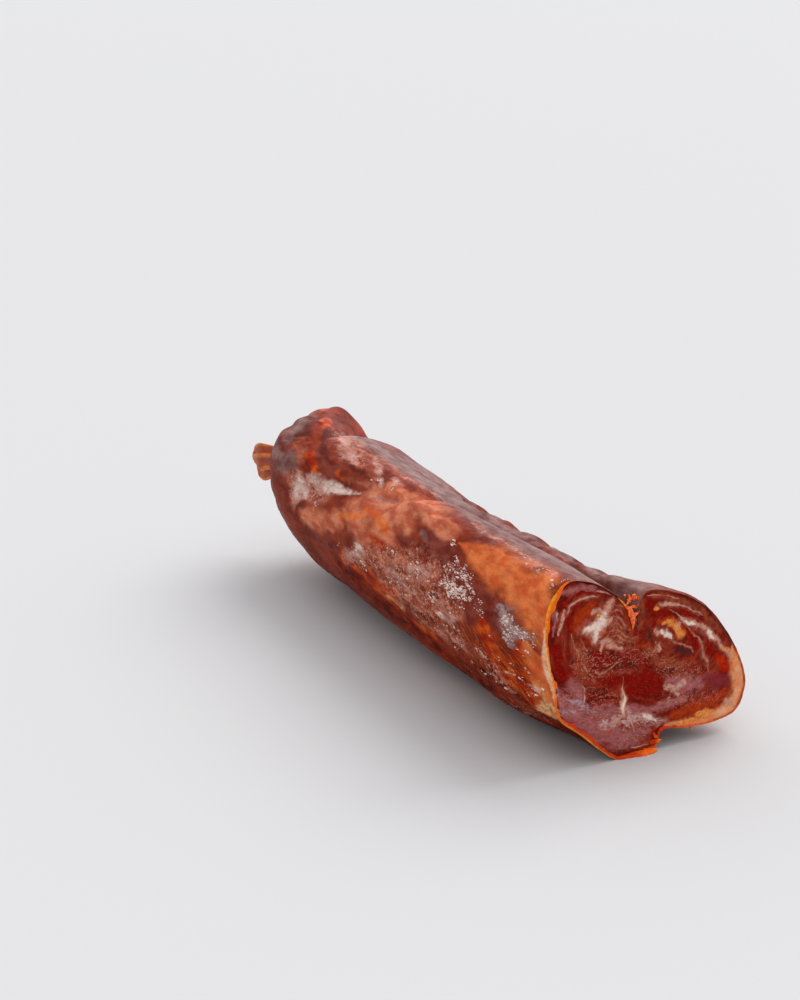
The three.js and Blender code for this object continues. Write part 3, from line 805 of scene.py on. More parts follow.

# Marbling and colour fields as strokes of (x, z, half width) in millimetres, with painted light among
# them: sheen, reflections, highlights and shade, each noted where it stands. Fields have firmer edges
# than the other strokes, and fine lines wander less.
MARBLING = {
    "fat": [
        [(-20.2, 40.9, 0.6), (-18.2, 41, 1.2), (-16.4, 40.8, 1.9), (-15.2, 42.2, 1.4),
         (-14.4, 44.2, 0.8)],
        [(-16.4, 40, 1.5), (-16.6, 38.4, 0.8), (-16.7, 36.8, 0.3)],
        [(4.8, 35.5, 0.5), (6.1, 34.8, 0.9), (7.4, 33.7, 0.7), (8.2, 32.9, 0.3)],
        [(-6.9, 19.2, 0.2), (-6.6, 17.6, 0.5), (-6.4, 16.2, 0.6), (-6.8, 14.8, 0.5), (-7.2, 13.4, 0.3)],
        [(0.4, 11, 0.6), (1.4, 10.5, 0.9), (2.8, 9.7, 0.7), (4, 8.8, 0.4)],
        [(21.2, 32.6, 0.5), (21.9, 31.4, 0.9), (22.8, 30.4, 0.5)],
        [(13.2, 37.1, 0.3), (14.6, 36.5, 0.5), (16.4, 36, 0.3)],
    ],
    "blush": [
        [(-22.4, 41, 1.2), (-19, 41.4, 2.8), (-15.6, 42.4, 3.4), (-13.2, 46, 2.6), (-11.8, 48, 1.4)],
        [(-16.6, 39, 2.4), (-16.4, 36, 1.4)],
        [(-15.2, 35.8, 1.4), (-12.4, 35.6, 2), (-9.6, 33.6, 1.6), (-6.6, 32.8, 1)],
        [(3, 36, 1.2), (6.2, 34.8, 1.8), (8.8, 32.6, 1.2)],
        [(-7.4, 20.6, 0.8), (-6.6, 16.6, 1.6), (-7.4, 12.6, 2.2), (-11.6, 10.8, 2.6)],
        [(-6.4, 13, 1.6), (-2.6, 10.6, 2.2), (1.6, 10.4, 2.4), (5, 8.6, 1.8), (8.4, 8, 1.2)],
        [(11.6, 38.2, 0.9), (16.8, 36, 1.4), (21.4, 32.4, 1.8), (25, 28.4, 1.6), (28, 25.4, 1.2)],
        [(8.2, 19, 1.6), (11.2, 16.2, 1.8), (14, 18.6, 1.4)],
        # These two are soft halos of the painted highlights at the top left and at the left.
        [(-26.6, 46, 0.8), (-25, 48.8, 0.9), (-20.8, 49.8, 1), (-16.4, 49.8, 0.7)],
        [(-28, 46.6, 1), (-28.3, 42, 1.1)],
        [(3.4, 43.8, 0.8), (7.6, 43.4, 1), (12, 41.8, 0.9), (18, 38.6, 0.7)],
        [(18.4, 30.6, 0.8), (19.6, 26.8, 1.2), (21.6, 22.4, 1)],
    ],
    "tan": [
        [(-20.4, 40.8, 0.9), (-17.6, 40.2, 2), (-15.6, 41.4, 2.2), (-14, 44.6, 1.3), (-12.4, 46.8, 1.4),
         (-11.6, 47.8, 0.8)],
        [(-16.4, 39, 1.6), (-16.6, 36.8, 0.8)],
        [(-14, 41.6, 1), (-12.2, 42.4, 0.6)],
        [(-14.6, 36.2, 0.7), (-13, 36.4, 0.9), (-11.9, 34.9, 0.9), (-10.2, 33.6, 0.7),
         (-7.8, 33.1, 0.4)],
        [(-14.2, 36, 0.5), (-15, 34.4, 0.5), (-15.2, 33.2, 0.3)],
        [(-18.6, 45.2, 0.6), (-17, 45.5, 0.8), (-15.4, 45.2, 0.5)],
        [(-7.3, 21, 0.3), (-6.7, 17.8, 0.9), (-6.4, 15.4, 1.1), (-7.4, 12.9, 0.9), (-8.8, 11.2, 0.6)],
        [(9.6, 37.2, 0.6), (10.6, 36.6, 0.9), (11.4, 35.6, 0.5)],
        [(2.6, 36, 0.5), (3.6, 35.3, 0.8)],
        [(8.6, 18.4, 0.7), (10.4, 17.6, 0.6)],
        [(10.6, 16.2, 0.6), (11.6, 15.2, 0.7)],
        [(13.6, 19.4, 0.6), (14.4, 18.8, 0.5)],
        [(4, 31.4, 0.6), (4.8, 30.2, 0.5)],
        [(12, 37.8, 0.5), (14.4, 36.7, 0.9), (17, 35.9, 0.7), (19.4, 34.6, 0.7), (20.8, 33.4, 0.8),
         (22.2, 31, 1.2), (24.4, 29.6, 0.8), (26, 27.4, 0.8), (27.6, 25.8, 0.7), (29, 24.2, 0.9)],
        [(4.2, 43.6, 0.4), (7.4, 43.3, 0.6), (10.6, 42.6, 0.5)],
        # A painted highlight: the grey-white streak at the left.
        [(-27.6, 47.4, 0.4), (-27.8, 45.2, 0.7), (-28.1, 42.8, 0.6), (-28.6, 40.4, 0.25)],
        [(29, 10, 0.9), (31, 8.4, 1)],
    ],
    "milk": [
        [(-6.2, 15.4, 0.8), (-5.2, 13, 1.2), (-3.6, 11.2, 1.5), (-0.6, 10.8, 1.7), (2.4, 9.8, 1.7),
         (5.4, 8.4, 1.1)],
        [(-14, 12, 1), (-12, 11, 1.7), (-9.8, 10.6, 1.3)],
        [(-9.6, 12.6, 0.8), (-7, 11.6, 1.2), (-5, 9.6, 0.8)],
        [(8, 18.8, 1), (10.6, 17, 1.3), (13.6, 18.6, 0.9)],
    ],
    # The first two lines, the arcs at the top left, are painted highlights of the wet face; the rest are thin
    # pale lines.
    "pale": [
        [(-26.3, 46.4, 0.15), (-25.3, 48.4, 0.3), (-23.4, 49.3, 0.4), (-21.2, 49.7, 0.4),
         (-18.8, 50, 0.28), (-17.2, 49.9, 0.15)],
        [(-17, 51.5, 0.12), (-15.4, 50.9, 0.25), (-13.8, 50.2, 0.28), (-12.2, 49.4, 0.12)],
        [(-29.6, 47.8, 0.12), (-29.7, 45.8, 0.2), (-29.4, 44, 0.12)],
        [(0.2, 47, 0.12), (2.4, 46.9, 0.2), (5, 46.2, 0.12)],
        [(5.4, 45.8, 0.1), (8, 45.2, 0.15), (10.6, 44.4, 0.1)],
        [(10.4, 42.6, 0.25), (14.4, 40.6, 0.18), (17, 39.2, 0.15), (19, 37.9, 0.1)],
        [(7.6, 41.5, 0.1), (9, 40.4, 0.16), (10.6, 39.2, 0.22), (12.2, 37.8, 0.3)],
        [(-19.7, 21.6, 0.15), (-19.5, 20.2, 0.3), (-19.7, 18.8, 0.2)],
        [(-20.6, 24.6, 0.15), (-19.8, 23.6, 0.25), (-19.6, 22.4, 0.12)],
        [(-7.5, 25.6, 0.08), (-7.3, 23.2, 0.1), (-7.2, 21, 0.14), (-6.9, 19, 0.25)],
        [(-5.2, 11.8, 0.2), (-4.6, 10, 0.16), (-4.2, 8.6, 0.1)],
        [(-3.8, 10.6, 0.16), (-3.2, 8.8, 0.14), (-2.6, 7.2, 0.1)],
        [(-2.2, 10.4, 0.14), (-1.4, 9, 0.12), (-0.8, 7.8, 0.08)],
        [(-3.6, 2.4, 0.12), (-0.6, 2.3, 0.2), (2.4, 2.1, 0.12)],
        [(9.4, 18.8, 0.2), (10.6, 18, 0.2)],
        [(10.4, 16.4, 0.2), (11.4, 15.4, 0.25), (12, 14.8, 0.1)],
    ],
    "arc": [
        [(-13, 41.8, 0.3), (-11.6, 42.6, 0.4), (-10, 42.7, 0.4), (-8.7, 41.8, 0.4), (-7.8, 40.4, 0.3),
         (-7.4, 39.2, 0.15)],
        [(-12, 44.2, 0.2), (-10.6, 44.7, 0.25), (-9, 44.3, 0.25), (-7.8, 43, 0.15)],
        [(-10.8, 46, 0.15), (-9.6, 46, 0.2), (-8.6, 45.4, 0.15)],
        [(-12, 40.4, 0.15), (-10.4, 40.8, 0.25), (-9, 39.8, 0.25), (-8.4, 38.4, 0.15)],
        [(-12.6, 38.6, 0.2), (-10.6, 38.9, 0.25), (-8.6, 37.7, 0.25), (-7, 36.2, 0.2),
         (-4.6, 35.4, 0.15), (-2.6, 35.2, 0.1)],
        [(-11.8, 37, 0.15), (-9.6, 36.9, 0.25), (-7.6, 35.4, 0.2), (-5.2, 34.4, 0.15)],
        [(-11, 35.6, 0.15), (-9, 35.2, 0.2), (-7, 34.2, 0.15)],
        [(-6.4, 31.2, 0.15), (-4.2, 31.8, 0.25), (-2, 31.6, 0.15)],
        [(-16.4, 28.2, 0.15), (-15.4, 27, 0.3), (-13.6, 27, 0.3), (-11.6, 28, 0.25), (-9.6, 29.2, 0.25),
         (-7.2, 29.2, 0.15)],
        [(-20.4, 30.4, 0.15), (-19.8, 28.8, 0.3), (-18.4, 27.4, 0.3), (-16.8, 26.6, 0.15)],
        [(-24.6, 40, 0.15), (-23.6, 37.6, 0.3), (-22.8, 35.2, 0.3), (-22.2, 33, 0.15)],
        [(-21.4, 38.6, 0.1), (-20.6, 36.2, 0.25), (-19.6, 34.2, 0.2), (-18.4, 32.6, 0.1)],
        [(13.6, 35.8, 0.2), (15.9, 33.4, 0.3), (18, 31.4, 0.35), (19.1, 29.4, 0.4), (19.7, 26.9, 0.5),
         (20.6, 24.7, 0.5), (21.8, 22.6, 0.35), (22.2, 20.4, 0.15)],
        [(20.4, 25.4, 0.2), (21.4, 23.6, 0.35), (21.6, 21.4, 0.15)],
        [(8.2, 32.4, 0.2), (10.4, 31.2, 0.3), (13, 30, 0.3), (15.4, 28.8, 0.3), (16.2, 27.2, 0.15)],
        [(3, 32.6, 0.2), (3.4, 31, 0.3), (2.8, 29.6, 0.2)],
    ],
    "gold": [
        [(5.2, 37.4, 0.5), (7, 37.8, 0.8), (8.8, 37.2, 1.2), (9.8, 36, 1)],
        [(9.6, 36.4, 0.9), (11, 34.8, 1.4), (11.8, 33, 0.9)],
        [(26.4, 27, 0.5), (27.8, 25.9, 0.6), (29, 25, 0.4)],
        [(18.6, 7.8, 0.8), (21.4, 8, 1.1), (24, 7.4, 0.7)],
        [(10.4, 6.6, 0.5), (15, 6.5, 0.7), (18, 6.5, 0.6), (22.4, 6.3, 0.5)],
        [(2.7, 43, 0.5), (3.6, 42.6, 0.5)],
        [(-16.6, 44, 0.4), (-15.4, 43.9, 0.4)],
    ],
    "rust": [
        [(-23, 42, 1.8), (-21.6, 45, 2.2), (-18.4, 46.6, 1.6)],
        [(7.2, 39.6, 0.5), (8.2, 39, 0.5)],
        [(15.8, 25.2, 0.7), (16.6, 24.4, 0.6)],
        [(11, 9.4, 1.6), (15, 9.6, 2), (20, 10.4, 2.2), (25, 10.8, 2), (28.4, 12.6, 1.4)],
        [(-8.6, 47, 0.4), (-7, 44.8, 0.9), (-5.8, 42.2, 1.3), (-5, 39.4, 1.1), (-4.8, 37.8, 0.5)],
        [(4.6, 38.2, 0.9), (7.6, 38.4, 1.3), (10.4, 36.4, 1.8), (12.2, 33.4, 1.3)],
        [(-3.4, 32.6, 0.6), (-1.4, 32.8, 0.7), (0.6, 32.4, 0.7)],
        [(11, 32.4, 0.5), (12.4, 32.4, 0.5)],
        [(-14.6, 39, 0.6), (-12.6, 38.2, 0.6)],
        [(-12.6, 9.2, 0.6), (-11.4, 8.8, 0.6)],
    ],
    "pocket": [
        [(24.6, 25, 0.7), (26, 23.4, 1.3), (27.4, 21.4, 1.6), (28.8, 19.8, 0.9)],
        [(25.5, 8.8, 0.6), (26.1, 8.4, 0.5)],
        [(-26.9, 49.4, 0.6), (-26.2, 49, 0.6)],
    ],
    "deep": [
        [(-13, 24.6, 1.4), (-9.6, 24.2, 1.8)],
        [(-8, 23.8, 1.2), (-4.4, 23.2, 1.9), (-0.6, 22.4, 2.4), (2.8, 21.4, 2.6), (5, 19.8, 1.7)],
        [(-5, 20, 1.2), (-0.4, 19.2, 1.7), (3, 18.8, 1.2)],
        [(-29.8, 37, 1), (-28.6, 32.5, 1.8), (-27.2, 28.4, 1.2)],
        [(-26.6, 49, 0.8), (-25.4, 43.6, 0.8), (-25.2, 41, 0.7)],
        [(-17.4, 33.2, 1.2), (-14.8, 31.4, 1.2), (-12.8, 30.6, 0.8)],
        [(0.6, 44.4, 1.2), (3.6, 41.4, 1.6), (6.4, 40.4, 1.2), (9, 40.8, 0.6)],
        [(10.6, 41.2, 0.6), (14, 38.9, 0.8), (18.4, 36.6, 0.8), (20.2, 35.4, 0.4)],
        [(13.8, 34.6, 0.8), (16, 31.8, 1.2), (17.4, 28.6, 1)],
        [(20.2, 31.6, 0.6), (21.6, 28.4, 1), (22.6, 25.4, 0.8)],
        [(-23, 51.2, 0.6), (-18, 51, 0.5)],
    ],
    # Mauve fields: partly the lean's own tone, partly a painted wet sheen, mostly in the lower half.
    "mauve_and_sheen": [
        [(-29.6, 24.6, 1.2), (-27.4, 20.6, 2.6), (-23, 16, 3.4), (-17, 11.4, 3.6), (-10, 6.6, 3.4),
         (-3, 5.4, 3), (1.6, 7, 1.6)],
        [(-24, 25, 2), (-21, 22, 2)],
        [(-27.6, 52.8, 1), (-22, 52.9, 1.2), (-17.6, 52, 0.8)],
        [(-16, 15.4, 2.4), (-11, 14.6, 2.4), (-4, 14, 1.8), (2, 12.6, 1.4)],
        [(-30.2, 47, 0.7), (-30.6, 41, 0.5)],
        [(8.4, 20.6, 1), (11.2, 18.8, 2.2), (14.8, 17.6, 2.6), (19, 17.6, 2.2), (22.4, 18.6, 1.4)],
        [(2, 13, 1.2), (6, 13, 1.6), (10, 13.2, 1.4), (14, 13.6, 1)],
    ],
    "purple": [
        [(21.8, 18.4, 1.6), (25.2, 16.6, 2.6), (28.6, 17, 1.6)],
    ],
    # The first is painted shade in a shallow hollow of the cut; the second is a dark plum spot.
    "slate_and_hollow_shade": [
        [(9.6, 29.8, 0.6), (12.6, 28.6, 1.2), (15, 27.6, 1)],
        [(0.2, 37, 0.6), (0.8, 34.6, 0.8)],
    ],
    # Painted reflections: bluish streaks where the wet face mirrors the light, with a real coat over them
    # too.
    "sheen": [
        [(-28.4, 18.6, 0.6), (-25.4, 17.8, 0.9), (-22.6, 17, 0.6)],
        [(-19, 17.4, 0.5), (-17.2, 16.6, 0.7), (-15.8, 16, 0.3)],
        [(-8.2, 3.4, 0.4), (-6.4, 3, 0.6), (-4.8, 2.8, 0.3)],
        [(-29, 25.6, 0.5), (-28.6, 23, 0.6)],
        [(-24, 20.6, 0.8), (-21.6, 19.4, 1.4), (-18.6, 17.4, 1.2)],
        [(6.4, 8.8, 0.4), (8.2, 8.4, 0.5)],
    ],
    "brown": [
        [(-1.6, 46, 0.9), (-1.5, 42, 1.1), (-1.6, 38.4, 1.1)],
        [(-10.6, 41, 1.8), (-9.2, 38.4, 2.2), (-7, 35.6, 2), (-4, 34.6, 1.4)],
        [(-9.2, 45.6, 1.2), (-8, 43.6, 1)],
        [(0.6, 30.4, 1.4), (4.4, 30.6, 1.6)],
        [(4, 27, 1.8), (9, 25.6, 2.2), (13, 23.6, 2)],
        [(7.6, 20.6, 1.4), (12, 20, 2), (17, 18.4, 1.8)],
        [(-23, 37.6, 1.8), (-21.4, 33, 2.2), (-20.4, 27.6, 2)],
        [(2, 46.6, 0.8), (8, 45, 1), (14, 42.4, 1), (19.6, 38.8, 1), (25.6, 32, 0.9)],
    ],
    "dashed": [
        [(-22, 33, 2.5), (-18, 29, 4), (-9, 29, 3), (-2, 28, 2), (3, 30, 1.8)],
        [(-11, 41, 2.5), (-6, 35, 2.5)],
        [(6, 25, 2), (12, 22, 3), (18, 20, 2.4)],
        [(8, 14, 2.5), (17, 14, 2.5), (25, 12, 1.6)],
        [(-26, 22, 3), (-20, 20, 4), (-13, 15, 4), (-6, 8, 4), (0, 5, 2.5)],
        [(-14, 20, 2.5), (-10, 18, 2)],
    ],
}
FIELDS = ("gold", "deep", "purple", "brown", "dashed")
FIELD_SOFTNESS = 0.9
MARBLING_SOFTNESS = 0.95
MARBLING_WANDER = [(2.6, 0.55), (1, 0.32)]
FINE_LINES = ("pale", "arc")
LINE_WANDER = [(2.6, 0.45), (1, 0.16)]


def cut_radius(degrees):
    """Radius of the casing's edge at the cut."""
    return skin_radius(degrees, np.zeros_like(degrees))


def muscle_layer(x, z):
    """Depth in the rolled muscles: the distance from the nearer of two muscle middles, blended so
    that the outer layers run round both."""
    gaps = [np.hypot(x - middle_x, z - middle_z) for middle_x, middle_z in (LEFT_MUSCLE, RIGHT_MUSCLE)]
    return -MUSCLE_BLEND * np.log(sum(np.exp(-gap / MUSCLE_BLEND) for gap in gaps))


def face_masks(x, z, rim_gap, degrees):
    """Every part of the marbling and of the painted light on the face, with edges that wander by noise,
    and the layer depth.
    """
    place = np.stack([x, 0 * x, z], -1)
    bent, calm = (
        (x + layered(place, wander), z + layered(place + 30, wander))
        for wander in (MARBLING_WANDER, LINE_WANDER)
    )
    masks = {}
    for label, paths in MARBLING.items():
        across, along = calm if label in FINE_LINES else bent
        soft = FIELD_SOFTNESS if label in FIELDS else MARBLING_SOFTNESS
        masks[label] = strokes(across, along, paths, soft)
    from_right = turn(0, degrees)
    peach_width = PEACH_WIDTH * ease(-80, -38, from_right) * (1 - ease(-12, 4, from_right))
    peach_place = (rim_gap + 0.8 * grain(place, 3)) / np.maximum(peach_width, 0.5)
    masks["peach"] = ease(0.2, 1.2, peach_width) * (1 - ease(0.3, 1.6, peach_place))
    # A dark band along the rim, strongest on the left, is painted shadow under the casing's edge.
    rim = 1 - ease(0.2, 1.4, rim_gap + 0.4 * grain(place, 2))
    masks["edge"] = rim * mix(0.3, 1, band(104, 200, 20, degrees))
    masks = clipped(masks)
    masks["layer"] = muscle_layer(x, z)
    return masks


face_degrees = np.linspace(0, 360, FACE_SIDES, endpoint=False)
face_shares = (np.arange(1, FACE_RINGS + 1) / FACE_RINGS) ** FACE_CROWDING
face_edge = cut_radius(face_degrees) - FACE_INSET
face_radii = face_shares[:, None] * face_edge
face_x = CORE_X + face_radii * np.cos(np.radians(face_degrees))
face_z = np.maximum(CORE_Z + face_radii * np.sin(np.radians(face_degrees)), FACE_INSET)
rim_gap = face_edge - face_radii
marbling = face_masks(face_x, face_z, rim_gap, np.broadcast_to(face_degrees, face_x.shape))
face_rise = layered(np.stack([face_x, 0 * face_x, face_z], -1), FACE_LUMPS)
face_rise = face_rise + sum(rise * marbling[label] for label, rise in MARBLING_RISE.items())
face_front = FACE_RECESS - face_rise * ease(0, FACE_RIM, rim_gap)
front_rings = np.stack([face_x, face_front, face_z], -1)
back_rows = [FACE_RINGS - 1, FACE_RINGS // 2]
back_rings = front_rings[back_rows]
back_rings[..., 1] = FACE_THICKNESS
face_rings = np.concatenate([front_rings, back_rings])
marbling = {label: np.concatenate([values, values[back_rows]]) for label, values in marbling.items()}


def fibres_of(tree, pitch, length, sway):
    """Noise drawn out along the muscle's layers: quick across them at a pitch in millimetres, slow
    along them over a length, and swaying."""
    place = add_node(tree, "TexCoord").outputs["Object"]
    depth = work(tree, "MULTIPLY_ADD", noise_of(tree, 3.6, 2.0), sway, mask_of(tree, "layer"))
    scaled = {0: place, "Scale": 1 / (length * MM)}
    slow = add_node(tree, "VectorMath", scaled, operation="SCALE").outputs[0]
    parts = add_node(tree, "SeparateXYZ", {0: slow}).outputs
    drawn = {"X": work(tree, "DIVIDE", depth, pitch), "Y": parts["X"], "Z": parts["Z"]}
    return noise_at(tree, add_node(tree, "CombineXYZ", drawn).outputs[0], 1.0, 2.5)


def cut_meat_finish():
    """Moist cured lean: dark red with brown and mauve fields, fine pale fibres, and creamy fat with a pink
    halo. Painted light is laid in as well: a wet sheen in the mauve fields, bluish reflections,
    highlights along a few pale lines, glints as pale specks, shade in a hollow and a shadow along the
    rim. A thin film of fat gives it a soft gloss."""
    material, tree, shader = new_finish("cut_meat")
    patches = noise_of(tree, 5.0, 4.0)
    wisps = noise_of(tree, 1.5, 4.0, 0.62)
    fine = noise_of(tree, 0.8, 3.0, 0.6)
    specks = noise_of(tree, 0.45, 2.0, 0.6)
    layers = fibres_of(tree, 1.2, 12.0, 2.0)
    threads = fibres_of(tree, 0.45, 2.6, 3.0)
    streaks = work(tree, "MULTIPLY_ADD", threads, 0.55, work(tree, "MULTIPLY", fine, 0.45))
    dashes = fibres_of(tree, 0.5, 1.5, 3.4)
    lean = paint_over(tree, srgb(126, 18, 6), srgb(148, 48, 28), remap(tree, patches, 0.38, 0.66))
    lean = paint_over(tree, lean, srgb(80, 12, 5), remap(tree, layers, 0.5, 0.36, 0.0, 0.65))
    lean = paint_over(tree, lean, srgb(158, 80, 58), remap(tree, layers, 0.56, 0.7, 0.0, 0.4))
    colour = paint_layers(tree, dye(tree, lean, 6.0, 0.4), [
        ("brown", srgb(158, 72, 44), wisps, 0.62, 1.7),
        # Mauve, partly a painted wet sheen.
        ("mauve_and_sheen", srgb(168, 94, 92), wisps, 0.8, 1.5),
        ("deep", srgb(134, 9, 1), wisps, 0.9, 1.9),
        ("purple", srgb(136, 42, 46), wisps, 0.9, 1.4),
        # Dark slate, mostly painted shade in a hollow.
        ("slate_and_hollow_shade", srgb(78, 36, 34), streaks, 0.85, 1.8),
        ("rust", srgb(176, 54, 14), wisps, 0.8, 1.7),
    ])
    colour = shade_by(tree, colour, remap(tree, threads, 0.3, 0.7, 0.82, 1.18))

    dashed = mask_of(tree, "dashed")
    dash = work(tree, "MULTIPLY", remap(tree, dashes, 0.55, 0.67, 0.0, 0.5), dashed)
    colour = paint_over(tree, colour, srgb(206, 138, 114), dash)
    # Pale specks are painted glints of the wet surface, thickest in the dashed fields.
    lit = work(tree, "MULTIPLY_ADD", dashed, 0.5, 0.06)
    painted_glints = work(tree, "MULTIPLY", remap(tree, specks, 0.58, 0.68), lit)
    colour = paint_over(tree, colour, srgb(222, 172, 158), painted_glints)

    peach = paint_over(tree, srgb(238, 140, 86), srgb(242, 174, 128), remap(tree, patches, 0.4, 0.6))
    gold = paint_over(tree, srgb(228, 98, 28), srgb(246, 172, 88), remap(tree, fine, 0.26, 0.72))
    pocket = paint_over(tree, srgb(178, 16, 1), srgb(216, 70, 14), remap(tree, patches, 0.34, 0.66))
    colour = paint_layers(tree, colour, [
        # Painted shadow along the rim.
        ("edge", srgb(80, 14, 6), wisps, 0.9, 1.2),
        ("peach", peach, wisps, 1.0, 1.0),
        # Pink halos round the fat, and round painted highlights.
        ("blush", srgb(172, 92, 74), wisps, 0.55, 1.4),
        ("arc", srgb(190, 122, 96), wisps, 0.65, 2.0),
        ("milk", srgb(206, 158, 150), streaks, 0.62, 3.0),
        # Tan fat, with one painted highlight at the left.
        ("tan", srgb(212, 150, 126), streaks, 0.78, 2.6),
        # Pale lines, with the arcs at the top left painted highlights.
        ("pale", srgb(214, 162, 142), wisps, 0.7, 1.4),
        # Painted reflections of the wet face.
        ("sheen", srgb(186, 146, 154), streaks, 0.45, 2.6),
        ("gold", gold, wisps, 0.8, 1.5),
        ("pocket", pocket, patches, 0.9, 1.2),
        ("fat", srgb(246, 216, 200), wisps, 0.82, 2.0),
    ])
    gloss = remap(tree, wisps, 0.3, 0.7, 0.24, 0.46)
    set_surface(tree, shader, dye(tree, colour, 1.6, 0.32), gloss)
    shader.inputs["Specular IOR Level"].default_value = 0.02
    feed(tree, shader.inputs["Coat Weight"], work(tree, "MULTIPLY", mask_of(tree, "sheen"), 0.6))
    shader.inputs["Coat Roughness"].default_value = 0.15
    height = work(tree, "MULTIPLY_ADD", threads, 0.6, work(tree, "MULTIPLY_ADD", specks, 0.4, wisps))
    set_bump(tree, shader, height, 0.4, 0.3)
    return material


cut_face = add_piece("cut_face", face_rings, marbling)
finish_piece(cut_face, cut_meat_finish())


# The casing's edge round the cut
# The knife lays open the casing and the film of paprika fat under it. It is a bright orange band
# on the left with a yellow outer line, red and tan underneath, and a thin red-brown line elsewhere.

EDGE_STEPS = 720
EDGE_SECTION = 14
EDGE_DEPTH = 0.55
EDGE_OVERLAP = 0.12
EDGE_TILT = 0.2
EDGE_WAVE = 0.15
EDGE_RAGGEDNESS = 0.6
EDGE_WANDER = [(5, 1), (1.6, 0.6)]
EDGE_WANDER_RADIUS = 40.0
# Half width of the edge as (degrees, millimetres).
EDGE_HALF_WIDTHS = [
    (20, 0.15), (100, 0.15), (124, 0.17), (131, 0.32), (139, 0.75), (154, 0.85), (163, 0.55),
    (190, 0.45), (205, 0.6), (240, 0.75), (262, 0.5), (290, 0.45), (305, 0.28), (335, 0.2),
]

edge_degrees = np.linspace(0, 360, EDGE_STEPS, endpoint=False)[:, None]
edge_turn = np.linspace(0, 2 * np.pi, EDGE_SECTION, endpoint=False)[None, :]
edge_cos, edge_sin = np.cos(np.radians(edge_degrees)), np.sin(np.radians(edge_degrees))
edge_place = EDGE_WANDER_RADIUS * np.stack([edge_cos, 0 * edge_degrees, edge_sin], -1)
edge_wander = layered(edge_place, EDGE_WANDER)
edge_half = np.interp(edge_degrees, *np.transpose(EDGE_HALF_WIDTHS), period=360)
edge_half = edge_half * (1 + EDGE_RAGGEDNESS * edge_wander)
edge_radius = cut_radius(edge_degrees) + EDGE_OVERLAP - edge_half * (1 - np.cos(edge_turn))
edge_distance = FACE_RECESS - EDGE_DEPTH * np.sin(edge_turn)
edge_distance = edge_distance - EDGE_TILT * edge_half + EDGE_WAVE * edge_wander
edge_x = CORE_X + edge_radius * edge_cos
edge_z = np.maximum(CORE_Z + edge_radius * edge_sin, 0)
edge_rings = np.stack([edge_x, edge_distance, edge_z], -1)
edge_outer = ease(-0.1, 0.9, np.cos(edge_turn))
edge_masks = {
    "orange": band(132, 262, 5, edge_degrees) + 0.6 * band(285, 372, 10, edge_degrees) + 0 * edge_outer,
    "yellow": edge_outer * band(136, 158, 4, edge_degrees),
    "cream": edge_outer * band(158, 188, 6, edge_degrees),
    "tan": edge_outer * band(200, 262, 8, edge_degrees),
    "red": (1 - edge_outer) * band(204, 300, 8, edge_degrees) + 0.8 * band(264, 300, 8, edge_degrees),
}


def casing_edge_finish():
    """Cut edge of the casing: translucent orange paprika fat, yellow and cream where the casing is
    bare, and red where seasoning lies under it."""
    material, tree, shader = new_finish("casing_edge")
    wisps = noise_of(tree, 1.2, 3.0, 0.6)
    colour = paint_layers(tree, dye(tree, srgb(150, 76, 56), 4.0, 0.4), [
        ("orange", srgb(250, 104, 2), wisps, 1.0, 1.4),
        ("red", srgb(206, 54, 2), wisps, 0.9, 1.8),
        ("yellow", srgb(255, 172, 44), wisps, 0.65, 2.2),
        ("cream", srgb(252, 190, 124), wisps, 0.8, 1.8),
        ("tan", srgb(230, 150, 66), wisps, 0.9, 1.8),
    ])
    set_surface(tree, shader, dye(tree, colour, 2.0, 0.35), remap(tree, wisps, 0.3, 0.7, 0.28, 0.45))
    shader.inputs["Specular IOR Level"].default_value = 0.1
    set_bump(tree, shader, wisps, 0.6, 0.25)
    return material


edge_finish = casing_edge_finish()
finish_piece(add_piece("casing_edge", edge_rings, clipped(edge_masks), looped=True), edge_finish)


# Torn scraps of casing
# Under the notch the casing tore instead of being cut: a tongue of it lies under the lower muscle,
# and a short toothed flap sticks out beside it. They are thin, stiff and soaked with paprika fat.

LEAF_SIDES = 16
LEAF_ROWS = 48
LEAF_LEAST_WIDTH = 0.06
LEAF_LEAST_THICKNESS = 0.05
LEAF_TEARS = 0.4
LEAF_TEAR_SIZE = 1.1
# Each scrap has a path of (x, distance, z, half width, half thickness) and the way its flat side looks.
SCRAPS = [
    ([(-9.5, 0.3, 0.5, 0.3, 0.2), (-5, -0.3, 0.4, 0.9, 0.25), (-0.5, -0.8, 0.45, 1.2, 0.28),
      (2.8, -0.9, 0.6, 1, 0.25), (4.9, -0.8, 0.9, 0.15, 0.12)], (0.1, -0.45, 0.9)),
    ([(2.8, 0.3, 2.4, 0.5, 0.2), (4, -0.1, 2.7, 0.8, 0.22), (5.2, -0.2, 2.8, 0.65, 0.2),
      (6.5, -0.2, 3, 0.1, 0.1)], (0.2, -1, 0.2)),
    ([(3.6, 0.2, 5.4, 0.4, 0.2), (4.4, 0, 4.4, 0.5, 0.2), (5.4, -0.1, 3.8, 0.1, 0.1)], (0.2, -1, 0.2)),
    ([(16.4, 0.2, 5, 0.5, 0.15), (16.8, 0, 4.3, 0.35, 0.12), (17.1, -0.1, 3.7, 0.1, 0.08)],
     (0, -1, 0.2)),
]


